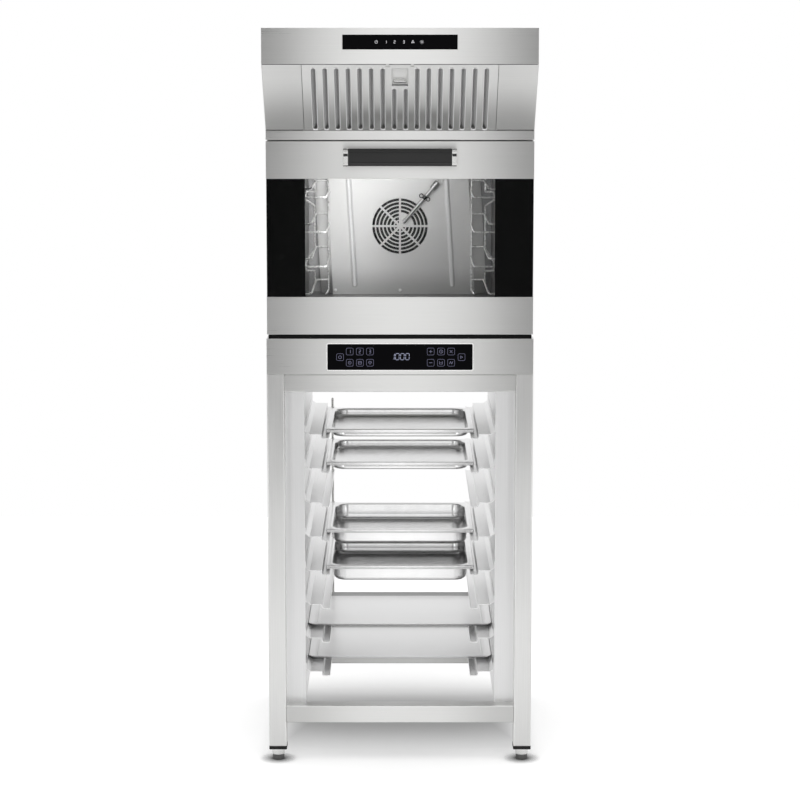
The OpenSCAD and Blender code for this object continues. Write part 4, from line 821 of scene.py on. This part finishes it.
# %% Slot rims
SLOPE_Z, SLOPE_RUN, SLOPE_RISE = 1459.0, 144.6, 147.5
SLOPE_LENGTH = math.hypot(SLOPE_RUN, SLOPE_RISE)
SLOPE_COS, SLOPE_SIN = SLOPE_RUN / SLOPE_LENGTH, SLOPE_RISE / SLOPE_LENGTH
SLOT_PITCH, SLOT_PAIRS, SLOT_RIM_R, SLOT_END = 25.2, 8, 5.65, 5.0
SLOT_LOW, SLOT_HIGH, SHORT_SLOT_HIGH = 4.5, SLOPE_LENGTH - 11.0, SLOPE_LENGTH - 74.0


def on_slope(x, up, out):
    """A place on the filter's slope, as across, back and height."""
    return (x, -up * SLOPE_COS - out * SLOPE_SIN, SLOPE_Z + up * SLOPE_SIN - out * SLOPE_COS)


def rim_path(x, low, high):
    """The closed outline of one slot's rim."""
    ends = capsule(x, SLOT_RIM_R, low + SLOT_END, high - SLOT_END)
    return [on_slope(a, up, 1.1) for a, up in ends + ends[:1]]


rims, folds = [], []
for pair in range(SLOT_PAIRS):
    for side in (-1, 1):
        x = side * (pair + 0.5) * SLOT_PITCH
        rims.append(rim_path(x, SLOT_LOW, SHORT_SLOT_HIGH if pair == 0 else SLOT_HIGH))
        folds.append([on_slope(x - 5.4, 3.4, 0.8), on_slope(x, 1.6, 1.0),
                      on_slope(x + 5.4, 3.4, 0.8)])
for label, paths, bead, bend in (("rim", rims, 0.0007, 0.0002), ("fold", folds, 0.0011, 0.0005)):
    mesh = grow(wire_tree, *chains(paths), "rim_metal",
                wire_radius=bead, bend_radius=bend, sides=8)
    add_piece(f"filter_slot_{label}s", mesh, "rim_metal", "filter", smooth=50)

# %% Strips on the slope
BOX_FACES = ((0, 1, 3, 2), (4, 6, 7, 5), (0, 4, 5, 1), (2, 3, 7, 6), (0, 2, 6, 4), (1, 5, 7, 3))


def corners(xs, ys, zs):
    """The eight corners of a box between two values on each axis."""
    return [(x, y, z) for x in xs for y in ys for z in zs]


def slope_sheet(across, up, out):
    """Corners of a sheet that lies on the slope."""
    return [on_slope(*corner) for corner in corners(across, up, out)]


def boxes_mesh(boxes):
    """One mesh of several thin sheets. Each is given by its eight corners."""
    work = bmesh.new()
    for box in boxes:
        verts = [work.verts.new(at_mm(*corner)) for corner in box]
        for face in BOX_FACES:
            work.faces.new([verts[i] for i in face])
    return bmesh_to_mesh(work)


CUP_LOW, CUP_HALF, CUP_DEPTH = SLOPE_LENGTH - 67.0, 16.4, (-8.6, -1.05)
SEAM_END, TRIM_EDGE, SEAM_X = 299, 217, 214.4
TONGUE = (23.4, 30.6)
# The latch recess's lower wall, in the painted highlight finish.
cup_wall = [slope_sheet((-CUP_HALF, CUP_HALF), (CUP_LOW - 1.1, CUP_LOW - 0.1), CUP_DEPTH)]
add_piece("latch_cup_wall", boxes_mesh(cup_wall), "rim_metal", "filter")

# Thin dark strips in the slope's joints, painted shade in the seams.
seam_shades = [slope_sheet(across, (SLOPE_LENGTH - 1.1, SLOPE_LENGTH + 0.3), (-0.6, 0.3))
         for across in ((-SEAM_END, -TONGUE[1]), (-TONGUE[0], TONGUE[0]), (TONGUE[1], SEAM_END))]
seam_shades += [slope_sheet(across, (-0.9, 0.4), (-0.6, 0.2))
          for across in ((-SEAM_END, -TRIM_EDGE), (TRIM_EDGE, SEAM_END))]
seam_shades += [slope_sheet((x - 0.3, x + 0.3), (1.0, SLOPE_LENGTH - 1.0), (-0.6, 0.2))
          for x in (-SEAM_X, SEAM_X)]
add_piece("hood_seam_painted_shade", boxes_mesh(seam_shades), "gasket_rubber_and_seam_shade", "main")

# %% [markdown]
# ## The handle
# The grip is an extruded plastic section with two fine lines along it, clamped between
# two polished caps. An outline with the lines already in it, pulled along X, needs far
# fewer faces than a cut would.

# %% Grip
GRIP_HALF_LENGTH, GRIP_H, GRIP_T, GRIP_Y, GRIP_Z = 115.75, 38.6, 16.0, -37.0, 1399.7
GRIP_END, GRIP_END_SHRINK = 0.6, 0.97
LINE_DEPTH, LINE_WIDTH = 0.7, 1.1


def grip_outline():
    """Section of the grip in Y and Z: bowed front with two lines, flat back."""
    r, half = GRIP_T / 2, GRIP_H / 2
    line = half - r - 0.6
    upper, lower = [[(-r, z + LINE_WIDTH), (-r + LINE_DEPTH, z + LINE_WIDTH * 0.4),
                     (-r + LINE_DEPTH, z - LINE_WIDTH * 0.4), (-r, z - LINE_WIDTH)]
                    for z in (line, -line)]
    bow = [(-r - 0.35, 4.0), (-r - 0.45, 0.0), (-r - 0.35, -4.0)]
    top = arc((0, half - r), r, 150, 90, 8) + arc((r - 3, half - 3), 3, 80, 0, 5)
    bottom = arc((r - 3, -half + 3), 3, 0, -80, 5) + arc((0, -half + r), r, -90, -150, 8)
    return top + bottom + (upper + bow + lower)[::-1]


rings = [[at_mm(x, GRIP_Y + y * shrink, GRIP_Z + z * shrink) for y, z in grip_outline()]
         for x, shrink in ((-GRIP_HALF_LENGTH, GRIP_END_SHRINK),
                           (-GRIP_HALF_LENGTH + GRIP_END, 1.0),
                           (GRIP_HALF_LENGTH - GRIP_END, 1.0),
                           (GRIP_HALF_LENGTH, GRIP_END_SHRINK))]
add_piece("handle_grip_lined", loft_mesh(rings), "grip_plastic_and_painted_reflection", "door",
          "handle_grip", smooth=30)

# %% [markdown]
# A dark band on the front of each polished end is a painted reflection, the black line
# that chrome shows. A black sheet set behind the gap between the door's foot and the front
# panel below it is painted shade, so the gap reads black.

# %% Painted reflections on the grip's ends, and painted shade under the door
END_LOW_X, END_HIGH_X = 116.4, 125.8
BAND_LOW, BAND_HIGH = 2.6, 8.6
STRIP_HALF, STRIP_DEPTH = 298.0, (2.0, 6.0)

grip_front = GRIP_Y - GRIP_T / 2
# Painted reflections: dark bands on the front of the polished ends.
bands = [corners((side * END_LOW_X, side * END_HIGH_X), (grip_front - 0.85, grip_front + 0.5),
                 (GRIP_Z + BAND_LOW, GRIP_Z + BAND_HIGH)) for side in (-1, 1)]
add_piece("handle_end_painted_reflections", boxes_mesh(bands), "grip_plastic_and_painted_reflection", "door")

door_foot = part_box("door_lower_panel")[0].z / MM
fascia_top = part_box("control_fascia")[1].z / MM
print("gap under the door", round(door_foot - fascia_top, 2), "mm")
# Painted shade: a black sheet behind the gap under the door.
strip = [corners((-STRIP_HALF, STRIP_HALF), STRIP_DEPTH, (fascia_top - 0.3, door_foot - 1.2))]
add_piece("under_door_painted_shade", boxes_mesh(strip), "black_enamel_and_gap_shade", "main")

# %% [markdown]
# ## Marks on the black glass
# The keys are thin lit outlines printed behind the glass. The tree draws one rounded
# square, sets it on every key's centre and gives it a hair's thickness. Digits are built
# from the seven bars of a display, and the small signs from short strokes.

# %% Key outline tree
KEY_SIZE, KEY_CORNER, KEY_LINE, KEY_THICK = 0.0158, 0.003, 0.0006, 0.0002

tree, given, out = new_tree("key_outline", key_size=KEY_SIZE, corner=KEY_CORNER,
                            line=KEY_LINE)
square = node_in(tree, "GeometryNodeCurvePrimitiveQuadrilateral",
                 {"Width": given["key_size"], "Height": given["key_size"]})
profile = node_in(tree, "GeometryNodeCurvePrimitiveQuadrilateral",
                  {"Width": given["line"], "Height": KEY_THICK})
skin = node_in(tree, "GeometryNodeCurveToMesh", {
    "Curve": fillet_in(tree, square, given["corner"], 4), "Profile Curve": profile})
upright = node_in(tree, "GeometryNodeTransform",
                  {"Geometry": skin, "Rotation": (math.pi / 2, 0, 0)})
place = node_in(tree, "GeometryNodeInstanceOnPoints",
                {"Points": given["Geometry"], "Instance": upright})
key_tree = close_tree(tree, given, out, place)

# %% Strokes
MARK_DEPTH = 0.2
# Bars of a seven-segment digit, on a cell one wide and two high
SEGMENTS = {"a": ((0, 2), (1, 2)), "b": ((1, 2), (1, 1)), "c": ((1, 1), (1, 0)),
            "d": ((0, 0), (1, 0)), "e": ((0, 1), (0, 0)), "f": ((0, 2), (0, 1)),
            "g": ((0, 1), (1, 1))}
DIGITS = {"0": "abcdef", "1": "bc", "2": "abged", "3": "abgcd"}


class Marks:
    """Collects thin strokes in the panel's plane, and makes one mesh of them. Strokes are
    counted from a centre, which moves from sign to sign."""

    def __init__(self, plane_y):
        self.work = bmesh.new()
        self.y = plane_y

    def at(self, x, z):
        self.x, self.z = x, z
        return self

    def bar(self, a, b, width):
        """A straight stroke from a to b, given as (x, z)."""
        a, b = [Vector((self.x + x, self.z + z)) for x, z in (a, b)]
        along = (b - a).normalized()
        across = Vector((-along.y, along.x)) * width / 2
        outline = [a - across, b - across, b + across, a + across]
        front, back = [[self.work.verts.new(at_mm(p.x, y, p.y)) for p in outline]
                       for y in (self.y - MARK_DEPTH, self.y)]
        self.work.faces.new(front)
        self.work.faces.new(back[::-1])
        for i in range(4):
            j = (i + 1) % 4
            self.work.faces.new((front[j], front[i], back[i], back[j]))

    def line(self, *points, width=0.8):
        """Strokes from point to point."""
        for a, b in zip(points, points[1:]):
            self.bar(a, b, width)

    def ring(self, radius, width=0.8, start=0, end=360, steps=16, middle=(0, 0)):
        self.line(*arc(middle, radius, start, end, steps), width=width)

    def rays(self, count, first, inner, outer, width=0.8):
        """Strokes that point outwards, evenly round the centre."""
        for ray in range(count):
            angle = math.radians(first + 360 / count * ray)
            c, s = math.cos(angle), math.sin(angle)
            self.bar((inner * c, inner * s), (outer * c, outer * s), width)

    def digit(self, digit, width, height, stroke, lean=0.0, gap=0.0):
        for segment in DIGITS[digit]:
            ends = []
            for u, v in SEGMENTS[segment]:
                z = (v / 2 - 0.5) * height
                ends.append(Vector(((u - 0.5) * width + lean * z, z)))
            first, last = ends
            self.bar(first.lerp(last, gap), last.lerp(first, gap), stroke)


# %% Oven panel
PANEL_Y, DISPLAY_Z, DISPLAY_X = -1.0, 947.5, (-17.0, -6.0, 5.4, 16.8)
KEY_TOP_Z, KEY_LOW_Z, KEY_SINGLE_Z = 959.2, 933.5, 946.3
LEFT_KEYS, RIGHT_KEYS = (-114.0, -91.0, -68.0), (69.6, 93.0, 116.0)
SINGLE_KEYS = (-136.0, 139.5)

centres = [(x, z) for x in LEFT_KEYS + RIGHT_KEYS for z in (KEY_TOP_Z, KEY_LOW_Z)]
centres += [(x, KEY_SINGLE_Z) for x in SINGLE_KEYS]
mesh = grow(key_tree, [at_mm(x, PANEL_Y - 0.1, z) for x, z in centres], [], "mark_dim")
add_piece("oven_key_outlines", mesh, "mark_dim", "main")
marks = Marks(PANEL_Y)
for digit, x in zip("123", LEFT_KEYS):
    marks.at(x, KEY_TOP_Z).digit(digit, 3.4, 7.4, 0.9)
marks.at(LEFT_KEYS[0], KEY_LOW_Z).ring(3.4)
marks.line((-1.6, 0), (1.6, 0))
marks.at(LEFT_KEYS[1], KEY_LOW_Z)
marks.line((-3.6, -3.2), (-3.6, 3.2), (3.6, 3.2), (3.6, -3.2), (-3.6, -3.2))
marks.line((-3.6, 0), (3.6, 0))
marks.at(LEFT_KEYS[2], KEY_LOW_Z).ring(3.6, end=180, steps=10)
marks.line((-4, -0.4), (4, -0.4))
marks.line((-2, -2.8), (2, -2.8))
for z in (KEY_TOP_Z, KEY_LOW_Z):
    marks.at(RIGHT_KEYS[0], z).line((-3.6, 0), (3.6, 0), width=1.0)
marks.at(RIGHT_KEYS[0], KEY_TOP_Z).line((0, -3.6), (0, 3.6), width=1.0)
marks.at(RIGHT_KEYS[1], KEY_TOP_Z).ring(3.8)
marks.line((0, 2.4), (0, 0), (1.8, -1.2))
marks.at(RIGHT_KEYS[1], KEY_LOW_Z).line((-3.4, 3), (-3.4, -3), (3.4, -3), (3.4, 3))
marks.line((-1.6, 0.6), (1.6, 0.6))
marks.at(RIGHT_KEYS[2], KEY_TOP_Z).ring(1.5, steps=10)
marks.rays(4, 45, 2.2, 4.4)
marks.at(RIGHT_KEYS[2], KEY_LOW_Z)
marks.line((-3.8, -3), (-1.3, 3), (1.3, -3), (3.8, 3), width=0.9)
marks.at(SINGLE_KEYS[0], KEY_SINGLE_Z).ring(3.4, start=120, end=420, steps=14)
marks.line((0, 1.2), (0, 4.4), width=0.9)
marks.at(SINGLE_KEYS[1], KEY_SINGLE_Z).line((-2.4, 3), (2.6, 0), (-2.4, -3), (-2.4, 3))
add_piece("oven_key_signs", bmesh_to_mesh(marks.work), "mark_dim", "main")
clock = Marks(PANEL_Y)
for digit, x in zip("1000", DISPLAY_X):
    clock.at(x, DISPLAY_Z).digit(digit, 8.0, 14.4, 1.0, lean=0.05, gap=0.12)
add_piece("oven_display", bmesh_to_mesh(clock.work), "mark_bright", "main")

# %% Hood panel
HOOD_FACE_Y, HOOD_SIGN_Z = -145.0, 1654.6
HOOD_SIGN_X = (-51.4, -30.9, -11.8, 8.2, 27.8, 47.4)

marks = Marks(HOOD_FACE_Y)
marks.at(HOOD_SIGN_X[0], HOOD_SIGN_Z).ring(3.0, start=120, end=420, steps=14)
marks.line((0, 0.6), (0, 4.0))
for digit, x in zip("123", HOOD_SIGN_X[1:4]):
    marks.at(x, HOOD_SIGN_Z).digit(digit, 2.8, 5.8, 0.8)
marks.at(HOOD_SIGN_X[4], HOOD_SIGN_Z)
for middle in arc((0, 0), 2.1, 90, 330, 2):
    marks.ring(1.1, 0.9, steps=8, middle=middle)
marks.at(HOOD_SIGN_X[5], HOOD_SIGN_Z).ring(2.1, steps=12)
marks.rays(8, 0, 3.6, 4.4, width=0.6)
add_piece("hood_signs", bmesh_to_mesh(marks.work), "mark_white", "main")

# %% [markdown]
# ## Screws in the back and the sides
# The outer sheets are held by small pan-head screws. The tree joins a washer and a domed
# head, turns the pair to face outwards, and sets it on every point.

# %% Panel screws
HEAD_R, HEAD_H, HEAD_TOP_PART = 0.0034, 0.0009, 0.6
WASHER_H, WASHER_PART = 0.0006, 1.35

tree, given, out = new_tree("pan_screw", head_radius=HEAD_R, head_height=HEAD_H,
                            turn_x=0.0, turn_y=0.0)
radius = given["head_radius"]
washer = node_in(tree, "GeometryNodeMeshCylinder", {
    "Vertices": 20, "Depth": WASHER_H,
    "Radius": math_in(tree, "MULTIPLY", radius, WASHER_PART)})
head = node_in(tree, "GeometryNodeMeshCone", {
    "Vertices": 20, "Side Segments": 2, "Radius Bottom": radius,
    "Radius Top": math_in(tree, "MULTIPLY", radius, HEAD_TOP_PART),
    "Depth": given["head_height"]})
both = node_in(tree, "GeometryNodeJoinGeometry")
for part in (head, washer):
    feed(tree, both, {0: part})
facing = node_in(tree, "ShaderNodeCombineXYZ", {"X": given["turn_x"], "Y": given["turn_y"]})
place = node_in(tree, "GeometryNodeInstanceOnPoints", {
    "Points": given["Geometry"], "Instance": both, "Rotation": facing})
screw_tree = close_tree(tree, given, out, place)


def add_screws(label, points, **turn):
    mesh = grow(screw_tree, [at_mm(*point) for point in points], [], "nickel", **turn)
    add_piece(label + "_panel_screws", mesh, "nickel", "main", smooth=30)


back_y = (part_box("oven_back_panel")[1].y - DOOR_Y) / MM
shell_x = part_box("oven_shell")[1].x / MM
hood_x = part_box("hood_casing")[1].x / MM
points = [(x, back_y, z) for x in (-286, 286) for z in (930, 1060, 1190, 1320, 1432)]
points += [(x, back_y, z) for x in (-190, -95, 0, 95, 190) for z in (918, 1440)]
add_screws("back", points, turn_x=-math.pi / 2)
for side, label in ((-1, "left"), (1, "right")):
    points = [(side * shell_x, y, z) for y in (60, 300, 525) for z in (925, 1425)]
    points += [(side * shell_x, 525, z) for z in (1050, 1175, 1300)]
    points += [(side * hood_x, y, 1655) for y in (-100, 120, 330, 545)]
    points += [(side * hood_x, 545, z) for z in (1480, 1570)]
    add_screws(label, points, turn_y=side * math.pi / 2)
